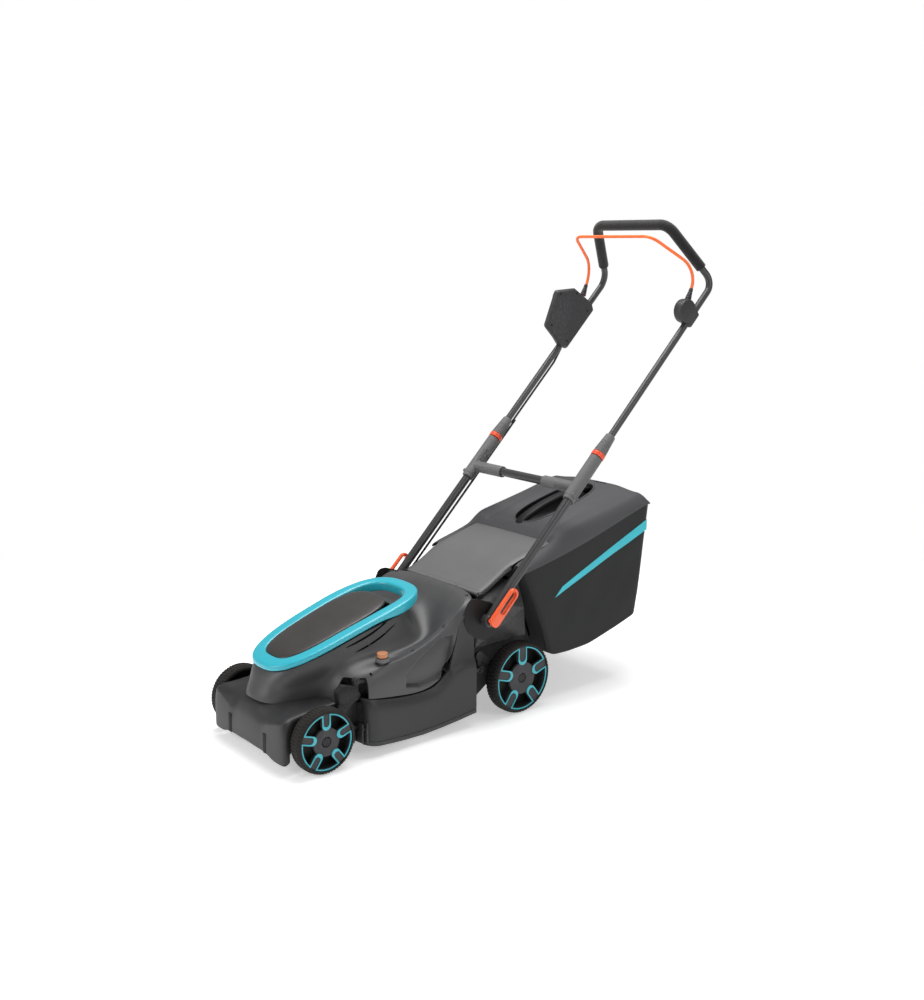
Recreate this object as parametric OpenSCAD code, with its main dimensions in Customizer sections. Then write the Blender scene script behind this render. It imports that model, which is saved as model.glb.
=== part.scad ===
// Battery rotary lawn mower with a rear grass box and a folding, telescoping handle.
// Drawn with the front axle at Y = 0, then moved so that the middle of its box is the origin.
// Front is -Y, the operator stands at +Y, the ground is Z = 0. All sizes are millimetres.

/* [Wheels] */
// Radius of the front tyres
front_wheel_r = 75; // [72:1:76]
// Radius of the rear tyres
rear_wheel_r = 90; // [86:1:92]
// Distance between the front and rear axles
wheelbase = 571; // [568:1:574]
// Distance from the middle of the mower to the outer face of each tyre
half_track = 200; // [199:0.5:202]
// Width of the front tyres
front_tyre_w = 40; // [38:1:40]
// Width of the rear tyres
rear_tyre_w = 42; // [40:1:42]

/* [Cutting] */
// Length of the blade from tip to tip
blade_length = 370; // [340:2:372]
// Inner radius of the cutting chamber
chamber_r = 190; // [189:0.5:191]
// Middle of the blade, behind the front axle
blade_y = 265; // [264:1:266]
// Thickness of the moulded walls
wall = 3.5; // [2.5:0.5:4]

/* [Handle] */
// Distance from the middle of the mower to each handle tube
tube_x = 196; // [195.5:0.5:198]
// Outer radius of the lower tubes
lower_tube_r = 11; // [10.6:0.2:11]
// Outer radius of the upper tube
upper_tube_r = 9; // [8:0.5:9]
// Height of the fold pivot
pivot_z = 260; // [259:1:261]
// Distance of the fold pivot behind the front axle
pivot_y = 458; // [457:1:459]
// Distance along the tube from the pivot to the T-shaped connector
tee_s = 404; // [396:2:408]

/* [Grass box] */
// Half the width of the grass box
box_half_w = 183; // [178:1:183]
// Wall thickness of the grass box
box_wall = 4; // [3:0.5:5]

/* [Hidden] */

$fn = 72;
far = 700;
strips = 28;
running = 0.05;

// Middle of the whole machine's box, so that the origin lies below it
frame_shift_y = 570.67;

// Wheels and the cranked axles that carry them
arm_y = 105;
arm_drop = 70;
front_pivot = [arm_y, front_wheel_r + arm_drop];
rear_pivot = [wheelbase - arm_y, rear_wheel_r + arm_drop];
axle_r = 6;
lever_h = 35;
arm_in = 151.5;
arm_out = 157.5;
body_half_w = 149;
pod_half_w = 192;
waist_half_w = 182;
boss_r = 14;

// Blade drive
roof_z = 112;
blade_z = 38;
shaft_r = 8;
motor_z = 128;

// Handle line: points along the tubes are given as a distance s from the pivot
bend_y = 1233;
bar_x = 129;
bar_y = 1123.5;
bar_z = 1185;
bend_r = 38;
clamp_gap = 0.6;
clamp_s = tee_s + 98;
ring_h = 13;
sleeve_s = clamp_s + ring_h;
sleeve_h = 56;
pod_y = 1126;
pod_z = 966;
bail_r = 4;

// Profile of the seam between the deck and the hood, as [y, z]
function seam_profile() = [[60, 140], [86, 148], [147, 134], [240, 122], [307, 126],
                           [353, 157], [368, 207], [384, 262], [407, 290], [436, 304]];

// Height of the top of the cyan ring at the distance y
function ring_u(y) = (y - 155.8) / 204.2;
function ring_top(y) = 284.8 + 0.3 * (y - 155.8) - 14.6 * ring_u(y) * ring_u(y);

// Superellipse with a width that changes evenly along Y
function signed_power(value, power) = sign(value) * pow(abs(value), power);
function egg(half_w, half_l, mid_y, power, taper, bow, steps = 64) =
    [for (i = [0 : steps - 1])
        let (t = 360 * i / steps,
             v = signed_power(sin(t), 2 / power),
             w = signed_power(cos(t), 2 / power))
        [half_w * (1 + taper * v + bow * v * v) * w, mid_y + half_l * v]];

// Points along the arc that rounds the corner at b, on the way from a to c, both ends included
function unit(v) = v / norm(v);
function half_angle(a, b, c) = acos(unit(a - b) * unit(c - b)) / 2;
function corner(a, b, c, radius, steps) =
    let (u = unit(a - b),
         w = unit(c - b),
         half = half_angle(a, b, c),
         middle = b + unit(u + w) * radius / sin(half),
         p = b + u * radius / tan(half) - middle,
         q = b + w * radius / tan(half) - middle,
         turn = 180 - 2 * half)
    [for (i = [0 : steps])
        middle + (p * sin(turn - turn * i / steps) + q * sin(turn * i / steps)) / sin(turn)];

// Moves a piece drawn from the front axle to the machine's own frame
module in_frame() {
    translate([0, -frame_shift_y, 0]) children();
}

// Extrudes an outline drawn as [y, z] along X, between two X values
module along_x(x0, x1) {
    translate([x0, 0, 0]) rotate([90, 0, 90]) linear_extrude(x1 - x0) children();
}

// A rod along X between two X values, at [y, z]
module rod_x(x0, x1, at, radius) {
    translate([x0, at[0], at[1]]) rotate([0, 90, 0]) cylinder(h = x1 - x0, r = radius);
}

// A straight round bar from p to q
module bar(p, q, radius) {
    d = q - p;
    translate(p) rotate([0, acos(d[2] / norm(d)), atan2(d[1], d[0])])
        cylinder(h = norm(d), r = radius);
}

// A bent round bar made of flat strips: the direction of a path at each of its points, and a
// cross direction that turns as little as it can from point to point
function heading(path, i) =
    unit((i < len(path) - 1 ? unit(path[i + 1] - path[i]) : [0, 0, 0])
         + (i > 0 ? unit(path[i] - path[i - 1]) : [0, 0, 0]));
function square_to(v, along) = unit(v - along * (v * along));
function cross_way(path, i, last = [1, 0, 0]) =
    i == 0 ? square_to([0, 1, 0] + last * 0.3, heading(path, 0))
           : square_to(cross_way(path, i - 1, last), heading(path, i));
function ring_at(path, i, radius) =
    let (u = cross_way(path, i), v = cross(heading(path, i), u))
    [for (k = [0 : strips - 1])
        path[i] + radius * (u * cos(360 * k / strips) + v * sin(360 * k / strips))];
function skin(first, rings, flip) =
    [for (i = [0 : rings - 2]) for (k = [0 : strips - 1]) for (half = [0, 1])
        let (a = first + i * strips + k,
             b = first + i * strips + (k + 1) % strips,
             c = half == 0 ? [a, b, b + strips] : [a, b + strips, a + strips])
        flip ? [c[2], c[1], c[0]] : c];

module bent_bar(path, radius) {
    n = len(path);
    polyhedron([for (i = [0 : n - 1]) for (p = ring_at(path, i, radius)) p],
               concat(skin(0, n, true),
                      [[for (k = [0 : strips - 1]) k],
                       [for (k = [0 : strips - 1]) n * strips - 1 - k]]));
}

module bent_tube(path, radius, bore) {
    n = len(path);
    inner = n * strips;
    polyhedron(concat([for (i = [0 : n - 1]) for (p = ring_at(path, i, radius)) p],
                      [for (i = [0 : n - 1]) for (p = ring_at(path, i, bore)) p]),
               concat(skin(0, n, true), skin(inner, n, false),
                      [for (k = [0 : strips - 1])
                          [k, (k + 1) % strips, inner + (k + 1) % strips, inner + k]],
                      [for (k = [0 : strips - 1])
                          [inner - strips + k, 2 * inner - strips + k,
                           2 * inner - strips + (k + 1) % strips,
                           inner - strips + (k + 1) % strips]]));
}

// A round bar along a list of points, with slightly proud balls at its bends
module path_bar(points, radius) {
    for (i = [0 : len(points) - 2]) bar(points[i], points[i + 1], radius);
    for (i = [1 : len(points) - 2]) translate(points[i]) sphere(r = radius * 1.03);
}

// Mirrors a left-hand piece to the right-hand side when the side is -1
module on_side(side) {
    if (side > 0) children();
    else mirror([1, 0, 0]) children();
}

// Places a piece drawn along +Z from the fold pivot on the line of a handle tube
module on_tube(s = 0, side = 1) {
    translate([side * tube_x, pivot_y, pivot_z]) rotate([-45, 0, 0]) translate([0, 0, s]) children();
}

// Both halves of a symmetric plan outline, given as the +X half from front to back
module mirrored_plan(half) {
    n = len(half);
    polygon(concat(half, [for (i = [0 : n - 1]) [-half[n - 1 - i][0], half[n - 1 - i][1]]]));
}

// ---------------------------------------------------------------- deck

module deck_plan(inset) {
    front = -88 + inset;
    pod_w = pod_half_w - inset;
    body_w = body_half_w - inset;
    mirrored_plan([[60, front], [136, front + 2], [157 - inset, -76 + inset],
                   [157 - inset, -66], [body_w, -54], [body_w, 108 + inset],
                   [172 - inset, 116 + inset], [pod_w - 4, 126 + inset], [pod_w, 142],
                   [pod_w, 428 - inset], [body_w, 428 - inset], [body_w, 652]]);
}

module deck_side() {
    polygon(concat([[-90, 40], [-90, 96], [-78, 134]], seam_profile(),
                   [[476, 300], [574, 336], [582, 310], [650, 126], [620, 116], [520, 96],
                    [455, 52], [429, 30], [121, 28], [100, 36], [-60, 36], [-70, 40]]));
}

module deck_inner_side() {
    polygon([[-84, -10], [-84, 88], [-73, 130], [58, 136], [84, 142], [88, 142],
             [88, 400], [700, 400], [700, -10]]);
}

module fender_side(inset) {
    polygon([[440 + inset, 190 + inset], [436 + inset, 303 - inset], [476, 299 - inset], [574 - inset, 334 - inset], [596 - inset, 260],
             [600 - inset, 190 + inset]]);
}

module tunnel_side(grow) {
    polygon([[300, 20], [300, roof_z - 4 + grow], [404 - grow, 118], [466 - grow, 284 + grow],
             [480, 291 + grow], [600, 333 + grow], [700, 372 + grow], [700, 136 - grow],
             [640, 130 - grow], [560, 113 - grow], [456 + grow, 40], [456 + grow, 20]]);
}

module leg(x0, x1) {
    translate([0, -72, 0]) rotate([90, 0, 0]) linear_extrude(14)
        polygon([[x0, 60], [x0 + 6, 26], [x1 - 8, 26], [x1, 60]]);
}

module deck_walls() {
    difference() {
        union() {
            intersection() {
                linear_extrude(far) deck_plan(0);
                along_x(-far, far) deck_side();
            }
            along_x(-172, 172) fender_side(0);
            leg(92, 157);
            mirror([1, 0, 0]) leg(92, 157);
            for (side = [-1, 1]) {
                on_side(side) rod_x(138, body_half_w + 1, front_pivot, boss_r);
            }
        }
        intersection() {
            translate([0, 0, -10]) linear_extrude(far) deck_plan(wall);
            along_x(-far, far) deck_inner_side();
            translate([-far, -far, -20]) cube([2 * far, far + 660, 700]);
        }
        along_x(-172 + wall, 172 - wall) fender_side(wall);
        // The waist above the skirt leaves room for the handle to fold
        for (side = [-1, 1]) {
            on_side(side) translate([waist_half_w, 300, 150]) cube([20, 132, 200]);
        }
    }
}

// Side walls of the waist above the skirts, and the ledges they stand on
module waist_walls() {
    ledge_z = 150;
    for (side = [-1, 1]) on_side(side) intersection() {
        along_x(waist_half_w - wall, pod_half_w) deck_side();
        union() {
            translate([waist_half_w - wall, 300, ledge_z - wall]) cube([wall, 128, far]);
            translate([waist_half_w - wall, 300, ledge_z - wall])
                cube([pod_half_w - waist_half_w + wall, 128, wall]);
        }
    }
}

module deck_housing() {
    color([0.16, 0.16, 0.17]) in_frame() difference() {
        union() {
            deck_walls();
            waist_walls();
            // Chamber wall and roof
            difference() {
                translate([0, blade_y, 30]) cylinder(h = roof_z + 4 - 30, r = chamber_r + wall, $fn = 120);
                translate([0, blade_y, 0]) cylinder(h = roof_z, r = chamber_r, $fn = 120);
            }
            translate([-176, 122, roof_z]) cube([352, 290, 4]);
            // Discharge tunnel
            difference() {
                along_x(-131, 131) intersection() {
                    tunnel_side(3);
                    polygon([[404, 30], [404, 400], [570, 336], [650, 126], [455, 30]]);
                }
                along_x(-128, 128) tunnel_side(0);
            }
            for (side = [-1, 1]) {
                on_side(side) rod_x(131, body_half_w + 1, rear_pivot, boss_r);
                on_side(side) rod_x(134, body_half_w + 1, front_pivot, boss_r);
            }
        }
        along_x(-128, 128) tunnel_side(0);
        translate([0, blade_y, 0]) cylinder(h = roof_z, r = chamber_r, $fn = 120);
        translate([0, blade_y, 90]) cylinder(h = 60, r = shaft_r + 3);
        for (side = [-1, 1]) {
            on_side(side) rod_x(120, 170, rear_pivot, axle_r + running);
            on_side(side) rod_x(100, 170, front_pivot, axle_r + running);
            // The front axle's bent ends pass under the shelf beside the nose
            on_side(side) translate([150.2, 88, 128]) cube([32, 38, 48]);
        }
        // Window for the link rod where it leaves the side pod
        translate([153, 410, 118]) cube([14, 40, 34]);
        // Vertical slots in the bumper
        for (side = [-1, 1]) {
            on_side(side) translate([70, -95, 20]) cube([10, 9, 58]);
        }
    }
}

module hood_plan(inset) {
    mirrored_plan([[30, -78 + inset], [50 - inset, -68 + inset], [62 - inset, -45],
                   [68 - inset, 0], [72 - inset, 55], [84 - inset, 92 + inset],
                   [172 - inset, 104 + inset], [waist_half_w - inset, 128],
                   [waist_half_w - inset, 436 - inset], [142 - inset, 436 - inset],
                   [142 - inset, 466 - inset]]);
}

module hood_side(drop) {
    polygon(concat([[-90, 140.5]], [for (p = seam_profile()) [p[0], p[1] + 0.5]],
                   [[476, 318 - (drop > 0 ? 0 : 13)], [476, 318 - drop], [440, 320 - drop],
                    [423, 316 - drop], [355, 257 - drop], [260, 215 - drop],
                    [150, 205 - drop], [100, 192 - drop], [-40, 185 - drop],
                    [-90, 165 - drop]]));
}

module dome_plan(inset) {
    polygon(egg(106 - inset, 180 - inset, 136, 2.6, 0.08, 0));
}

module dome_side(drop) {
    polygon(concat([[-90, 149], [400, 149], [400, 215]],
                   [for (y = [330 : -20 : -70]) [y, ring_top(y) - 25.5 - drop]]));
}

module hood_cover() {
    color([0.27, 0.27, 0.28]) in_frame() difference() {
        union() {
            intersection() {
                linear_extrude(far) hood_plan(0);
                along_x(-far, far) hood_side(0);
            }
            intersection() {
                linear_extrude(far) dome_plan(0);
                along_x(-far, far) dome_side(0);
            }
        }
        intersection() {
            linear_extrude(far) hood_plan(wall);
            along_x(-far, far) union() {
                hood_side(wall);
                polygon([[-90, 100], [60, 141], [86, 149], [147, 135], [240, 123],
                         [307, 127], [353, 158], [368, 208], [384, 263], [407, 291],
                         [436, 305], [480, 305], [480, 100]]);
            }
        }
        intersection() {
            linear_extrude(far) dome_plan(wall);
            along_x(-far, far) dome_side(wall);
        }
        // Opening under the battery lid
        translate([0, 0, 170]) linear_extrude(200) lid_outline(-8);
        // Notch for the front axle's lever and the link rod
        for (side = [-1, 1]) {
            on_side(side) translate([132, 80, 120]) cube([38, 46, 72]);
            on_side(side) translate([90, 88, 120]) cube([50, 30, 33]);
        }
        // Hole for the height button's stem
        translate([155, 180, 120]) cylinder(h = 200, r = 10);
        // Cooling slots
        for (side = [-1, 1]) for (row = [0, 1]) {
            on_side(side) translate([90, 112 + 22 * row, 246 - 17 * row]) rotate([20, 0, 0])
                cube([40, 118, 3]);
        }
    }
}

module ring_plan(grow) {
    polygon(egg(110.7 + grow, 204.2 + grow, 155.8, 2.7, 0.1, 0.1, 80));
}

module lid_outline(grow) {
    polygon(egg(74.9 + grow, 152 + grow, 136, 4.1, 0.1, 0));
}

module ring_handle() {
    color([0.15, 0.75, 0.82]) in_frame() intersection() {
        translate([0, 0, 150]) linear_extrude(300) difference() {
            ring_plan(0);
            lid_outline(1.4);
            polygon(egg(80, 104, 226, 2.9, 0.02, 0));
        }
        along_x(-far, far) polygon(concat([for (y = [-60 : 20 : 380]) [y, ring_top(y)]],
                                          [for (y = [380 : -20 : -60]) [y, ring_top(y) - 25]]));
    }
}

module battery_lid() {
    color([0.2, 0.19, 0.19]) in_frame() intersection() {
        translate([0, 0, 150]) linear_extrude(300) lid_outline(0);
        along_x(-far, far)
            polygon(concat([for (y = [-30 : 20 : 310]) [y, ring_top(y) + 5 - 0.0004 * pow(y - 140, 2)]],
                           [for (y = [310 : -20 : -30]) [y, ring_top(y) - 5]]));
    }
}

module battery_bay() {
    color([0.12, 0.12, 0.13]) in_frame() difference() {
        along_x(-64, 64) polygon([[44, 166], [44, 214], [204, 264], [204, 166]]);
        along_x(-61.5, 61.5) polygon([[46.5, 168.5], [46.5, 300], [201.5, 300], [201.5, 168.5]]);
    }
}

module battery_packs() {
    color([0.3, 0.3, 0.31]) in_frame() for (side = [-1, 1]) {
        on_side(side) difference() {
            translate([2, 58, 170]) cube([56, 118, 54]);
            translate([0, 168, 210]) cube([60, 20, 30]);
        }
    }
}

module safety_key() {
    color([0.9, 0.35, 0.12]) in_frame() union() {
        translate([-14, 184, 170]) cube([28, 10, 60]);
        translate([0, 194, 232]) rotate([90, 0, 0]) cylinder(h = 10, r = 16);
    }
}

module motor() {
    color([0.6, 0.6, 0.62]) in_frame() difference() {
        union() {
            translate([0, blade_y, roof_z + 4]) cylinder(h = 8, r = 58);
            translate([0, blade_y, roof_z + 12]) cylinder(h = 44, r = 50);
            translate([0, blade_y, roof_z + 56]) cylinder(h = 10, r = 42);
        }
        translate([0, blade_y, 100]) cylinder(h = 70, r = shaft_r + running);
    }
}

module controller_box() {
    color([0.35, 0.38, 0.36]) in_frame() difference() {
        translate([-50, 332, roof_z + 4.2]) cube([100, 48, 42]);
        for (i = [0 : 8]) translate([-44 + 11 * i, 330, 146]) cube([4, 52, 20]);
    }
}

module button_collar() {
    color([0.38, 0.38, 0.39]) in_frame() translate([155, 180, 0]) difference() {
        union() {
            translate([0, 0, 209.6]) cylinder(h = 8.4, r = 16.5);
            translate([0, 0, 190]) cylinder(h = 20, r = 9.8);
        }
        translate([0, 0, 180]) cylinder(h = 60, r = 6 + running);
        translate([0, 0, 212.6]) cylinder(h = 20, r = 13 + running);
    }
}

module height_button() {
    color([0.75, 0.45, 0.3]) in_frame() translate([155, 180, 0]) union() {
        translate([0, 0, 186]) cylinder(h = 34, r = 6);
        translate([0, 0, 218.8]) cylinder(h = 11.2, r = 13);
    }
}

// Dark ear on the waist that carries the handle's pivot pin
module bracket(side) {
    on_side(side) difference() {
        union() {
            along_x(172.3, 183.4) polygon([[404, 312], [424, 322], [440, 306], [476, 290],
                                           [504, 268], [508, 246], [488, 222], [458, 216],
                                           [420, 232], [402, 262]]);
            rod_x(183, 211, [pivot_y, pivot_z], 5);
        }
        translate([0, 380, 150]) cube([waist_half_w + 0.3, 56.5, 300]);
    }
}

module bracket_left() {
    color([0.1, 0.1, 0.11]) in_frame() bracket(1);
}

module bracket_right() {
    color([0.1, 0.1, 0.11]) in_frame() bracket(-1);
}

module cover_screws() {
    color([0.08, 0.08, 0.08]) in_frame() for (side = [-1, 1]) {
        for (at = [[160, 250, 211], [160, 340, 249], [134, 452, 316]])
            on_side(side) translate([at[0], at[1], at[2] - 14]) cylinder(h = 18, r = 3.2);
    }
}

// ---------------------------------------------------------------- rear flap

hinge_y = 476;
hinge_z = 309;

module flap_hinge_pin() {
    color([0.6, 0.6, 0.62]) in_frame() union() {
        rod_x(-152, 152, [hinge_y, hinge_z], 3);
        for (side = [-1, 1]) {
            on_side(side) along_x(148, 152) polygon([[468, 302], [468, 311], [480, 311],
                                                    [482, 300], [474, 296]]);
        }
    }
}

module rear_flap() {
    color([0.42, 0.42, 0.42]) in_frame() difference() {
        union() {
            along_x(-146, 146) polygon([[474, 313], [500, 327], [581, 372], [704, 405.5], [704, 400.5],
                                        [583, 367], [503, 322], [484, 311], [476, 303.6], [470, 309]]);
            rod_x(-146, 146, [hinge_y, hinge_z], 6.5);
        }
        rod_x(-147, 147, [hinge_y, hinge_z], 3 + running);
    }
}

// ---------------------------------------------------------------- running gear

// Crank arm between two points of a side view, as [y, z]
module arm(a, b, ra, rb) {
    d = b - a;
    rod_x(arm_in, arm_out, a, ra);
    rod_x(arm_in, arm_out, b, rb);
    along_x(arm_in, arm_out) translate(a) rotate(atan2(d[1], d[0])) translate([0, -rb * 0.8])
        square([norm(d), rb * 1.6]);
}

module front_axle() {
    hub = [0, front_wheel_r];
    lever = front_pivot + [0, lever_h];
    color([0.5, 0.5, 0.52]) in_frame() union() {
        rod_x(-arm_out, arm_out, front_pivot, axle_r);
        for (side = [-1, 1]) {
            on_side(side) arm(front_pivot, hub, 11, 11);
            on_side(side) rod_x(arm_in, 188, hub, axle_r);
        }
        arm(front_pivot, lever, 11, 8);
        rod_x(arm_out - 1, 165, lever, 4);
    }
}

module rear_axle() {
    hub = [wheelbase, rear_wheel_r];
    lever = rear_pivot - [0, lever_h];
    color([0.5, 0.5, 0.52]) in_frame() union() {
        rod_x(-188, 188, hub, axle_r);
        for (side = [-1, 1]) {
            on_side(side) arm(rear_pivot, hub, 11, 11);
            on_side(side) rod_x(134, arm_out, rear_pivot, axle_r);
        }
        arm(rear_pivot, lever, 11, 8);
        rod_x(arm_out - 1, 165, lever, 4);
    }
}

module link_rod() {
    a = front_pivot + [0, lever_h];
    b = rear_pivot - [0, lever_h];
    d = b - a;
    color([0.55, 0.55, 0.57]) in_frame() difference() {
        union() {
            rod_x(158.5, 163.5, a, 8);
            rod_x(158.5, 163.5, b, 9);
            along_x(158.5, 163.5) translate(a) rotate(atan2(d[1], d[0])) translate([0, -4])
                square([norm(d), 8]);
        }
        rod_x(150, 170, a, 4 + running);
        rod_x(150, 170, b, 5.5);
    }
}

// Cap nuts that hold a pair of wheels, drawn at [y, z]
module axle_nuts(at) {
    for (side = [-1, 1]) on_side(side) difference() {
        rod_x(186.5, 195, at, 10);
        rod_x(180, 188, at, axle_r);
    }
}

module axle_nuts_front() {
    color([0.1, 0.1, 0.1]) in_frame() axle_nuts([0, front_wheel_r]);
}

module axle_nuts_rear() {
    color([0.1, 0.1, 0.1]) in_frame() axle_nuts([wheelbase, rear_wheel_r]);
}

// Wheel pieces are drawn along +X from the tyre's inner face, with their axis at the origin
module tyre(radius, width, rim_r) {
    rotate([90, 0, 90]) rotate_extrude() polygon([[rim_r, 2], [radius - 9, 0], [radius - 3, 2.5], [radius - 0.6, 8],
                             [radius, width / 2], [radius - 0.6, width - 8],
                             [radius - 3, width - 2.5], [radius - 9, width], [rim_r, width - 2]]);
}

// Five spokes stay between the windows, one pointing straight up
module finger(tip_r, half_w, reach) {
    for (i = [0 : 4]) rotate(90 + 72 * i) union() {
        translate([tip_r + half_w, 0]) circle(r = half_w);
        translate([tip_r + half_w, -half_w]) square([reach, 2 * half_w]);
    }
}

module rim(radius, width, hub_r) {
    finger_w = radius * 0.165;
    tip = radius * 0.42;
    rotate([90, 0, 90]) difference() {
        union() {
            rotate_extrude() polygon([[radius - 3, 2], [radius, 2], [radius, width - 4],
                                      [radius - 3, width - 4]]);
            translate([0, 0, width - 12]) linear_extrude(8) difference() {
                circle(r = radius - 1);
                difference() {
                    circle(r = radius - 5);
                    finger(tip, finger_w, radius);
                    circle(r = radius * 0.5);
                }
            }
            translate([0, 0, 3]) cylinder(h = width - 8, r = hub_r);
        }
        translate([0, 0, -1]) cylinder(h = width + 2, r = axle_r + running);
        translate([0, 0, width - 15]) cylinder(h = 20, r = 12);
    }
}

// Coloured line that runs round the windows and along the spokes
module trim(radius, width) {
    line = 3.2;
    finger_w = radius * 0.165;
    tip = radius * 0.42;
    outer = radius - 1.4;
    rotate([90, 0, 90]) translate([0, 0, width - 4]) linear_extrude(1.6) difference() {
        circle(r = outer);
        finger(tip + 8, finger_w - line, radius);
        difference() {
            circle(r = outer - line);
            finger(tip, finger_w, radius);
        }
    }
}

front_rim_r = front_wheel_r - 9;
rear_rim_r = rear_wheel_r - 9;

module at_front(side) {
    on_side(side) translate([half_track - front_tyre_w, 0, front_wheel_r]) children();
}

module at_rear(side) {
    on_side(side) translate([half_track - rear_tyre_w, wheelbase, rear_wheel_r]) children();
}

module tyre_front_left() {
    color([0.09, 0.09, 0.09]) in_frame() at_front(1) tyre(front_wheel_r, front_tyre_w, front_rim_r);
}

module tyre_front_right() {
    color([0.09, 0.09, 0.09]) in_frame() at_front(-1) tyre(front_wheel_r, front_tyre_w, front_rim_r);
}

module tyre_rear_left() {
    color([0.09, 0.09, 0.09]) in_frame() at_rear(1) tyre(rear_wheel_r, rear_tyre_w, rear_rim_r);
}

module tyre_rear_right() {
    color([0.09, 0.09, 0.09]) in_frame() at_rear(-1) tyre(rear_wheel_r, rear_tyre_w, rear_rim_r);
}

module rim_front_left() {
    color([0.15, 0.15, 0.16]) in_frame() at_front(1) rim(front_rim_r, front_tyre_w, 17);
}

module rim_front_right() {
    color([0.15, 0.15, 0.16]) in_frame() at_front(-1) rim(front_rim_r, front_tyre_w, 17);
}

module rim_rear_left() {
    color([0.15, 0.15, 0.16]) in_frame() at_rear(1) rim(rear_rim_r, rear_tyre_w, 20);
}

module rim_rear_right() {
    color([0.15, 0.15, 0.16]) in_frame() at_rear(-1) rim(rear_rim_r, rear_tyre_w, 20);
}

module trim_front_left() {
    color([0.1, 0.62, 0.68]) in_frame() at_front(1) trim(front_rim_r, front_tyre_w);
}

module trim_front_right() {
    color([0.1, 0.62, 0.68]) in_frame() at_front(-1) trim(front_rim_r, front_tyre_w);
}

module trim_rear_left() {
    color([0.1, 0.62, 0.68]) in_frame() at_rear(1) trim(rear_rim_r, rear_tyre_w);
}

module trim_rear_right() {
    color([0.1, 0.62, 0.68]) in_frame() at_rear(-1) trim(rear_rim_r, rear_tyre_w);
}

// ---------------------------------------------------------------- blade

module blade() {
    reach = blade_length / 2;
    color([0.7, 0.7, 0.72]) in_frame() translate([0, blade_y, blade_z]) difference() {
        union() {
            intersection() {
                cylinder(h = 4, r = reach, $fn = 120);
                translate([-reach, -26, 0]) cube([2 * reach, 52, 4]);
            }
            for (turn = [0, 180]) rotate(turn) translate([reach - 62, 12, 3]) rotate([35, 0, 0])
                cube([56, 16, 3]);
        }
        translate([0, 0, -1]) cylinder(h = 6, r = 5.05);
        for (turn = [0, 180]) rotate(turn) translate([reach - 70, -50, -1]) cube([80, 34, 6]);
    }
}

module blade_holder() {
    color([0.2, 0.2, 0.2]) in_frame() translate([0, blade_y, blade_z + 4]) difference() {
        union() {
            cylinder(h = 12, r = 34);
            cylinder(h = 26, r = 18);
            for (i = [0 : 7]) rotate(45 * i) translate([16, -1.5, 11]) cube([34, 3, 14]);
            translate([0, 0, 10]) cylinder(h = 2, r = 52);
        }
        translate([0, 0, 4]) cylinder(h = 30, r = shaft_r);
        translate([0, 0, -1]) cylinder(h = 10, r = 5.05);
    }
}

module blade_bolt() {
    color([0.6, 0.6, 0.62]) in_frame() translate([0, blade_y, 0]) union() {
        translate([0, 0, blade_z - 7]) cylinder(h = 7, r = 9, $fn = 6);
        translate([0, 0, blade_z - 1]) cylinder(h = 9, r = 5);
    }
}

module motor_shaft() {
    color([0.65, 0.65, 0.67]) in_frame() translate([0, blade_y, blade_z + 8])
        cylinder(h = 116, r = shaft_r);
}

// ---------------------------------------------------------------- lower handle

module lower_tube(side) {
    on_tube(0, side) difference() {
        union() {
            cylinder(h = clamp_s - 1, r = lower_tube_r);
            rotate([0, 90, 0]) translate([0, 0, -11]) cylinder(h = 22, r = 14);
        }
        translate([0, 0, 30]) cylinder(h = far, r = upper_tube_r + running);
        rotate([0, 90, 0]) translate([0, 0, -30]) cylinder(h = 60, r = 5 + running);
    }
}

module lower_tube_left() {
    color([0.32, 0.32, 0.33]) in_frame() lower_tube(1);
}

module lower_tube_right() {
    color([0.32, 0.32, 0.33]) in_frame() lower_tube(-1);
}

module tee(side) {
    on_side(side) difference() {
        union() {
            on_tube(tee_s - 30) cylinder(h = 126, r = 17);
            on_tube(tee_s) rotate([0, -90, 0]) cylinder(h = tube_x - 80, r = 15);
            on_tube(tee_s - 34) cylinder(h = 8, r = 14);
        }
        on_tube() cylinder(h = far, r = lower_tube_r);
        on_tube(tee_s) rotate([0, -90, 0]) translate([0, 0, 20]) cylinder(h = 120, r = 11);
    }
}

module tee_left() {
    color([0.36, 0.36, 0.37]) in_frame() tee(1);
}

module tee_right() {
    color([0.36, 0.36, 0.37]) in_frame() tee(-1);
}

module cross_tube() {
    s = tee_s / sqrt(2);
    color([0.34, 0.34, 0.35]) in_frame() difference() {
        rod_x(-172, 172, [pivot_y + s, pivot_z + s], 11);
        rod_x(-180, 180, [pivot_y + s, pivot_z + s], 9);
    }
}

module clamp_ring(side) {
    on_tube(clamp_s, side) difference() {
        cylinder(h = ring_h - 0.4, r = 18);
        translate([0, 0, -1]) cylinder(h = 30, r = upper_tube_r + running);
    }
}

module clamp_sleeve(side) {
    on_tube(sleeve_s - 0.4, side) difference() {
        rotate_extrude() polygon([[0, 0], [17, 0], [16.5, 20], [13.5, sleeve_h - 4],
                                  [12, sleeve_h], [0, sleeve_h]]);
        translate([0, 0, -1]) cylinder(h = 80, r = upper_tube_r + running);
    }
}

module clamp_ring_left() {
    color([0.95, 0.3, 0.12]) in_frame() clamp_ring(1);
}

module clamp_ring_right() {
    color([0.95, 0.3, 0.12]) in_frame() clamp_ring(-1);
}

module clamp_sleeve_left() {
    color([0.4, 0.4, 0.41]) in_frame() clamp_sleeve(1);
}

module clamp_sleeve_right() {
    color([0.4, 0.4, 0.41]) in_frame() clamp_sleeve(-1);
}

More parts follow.
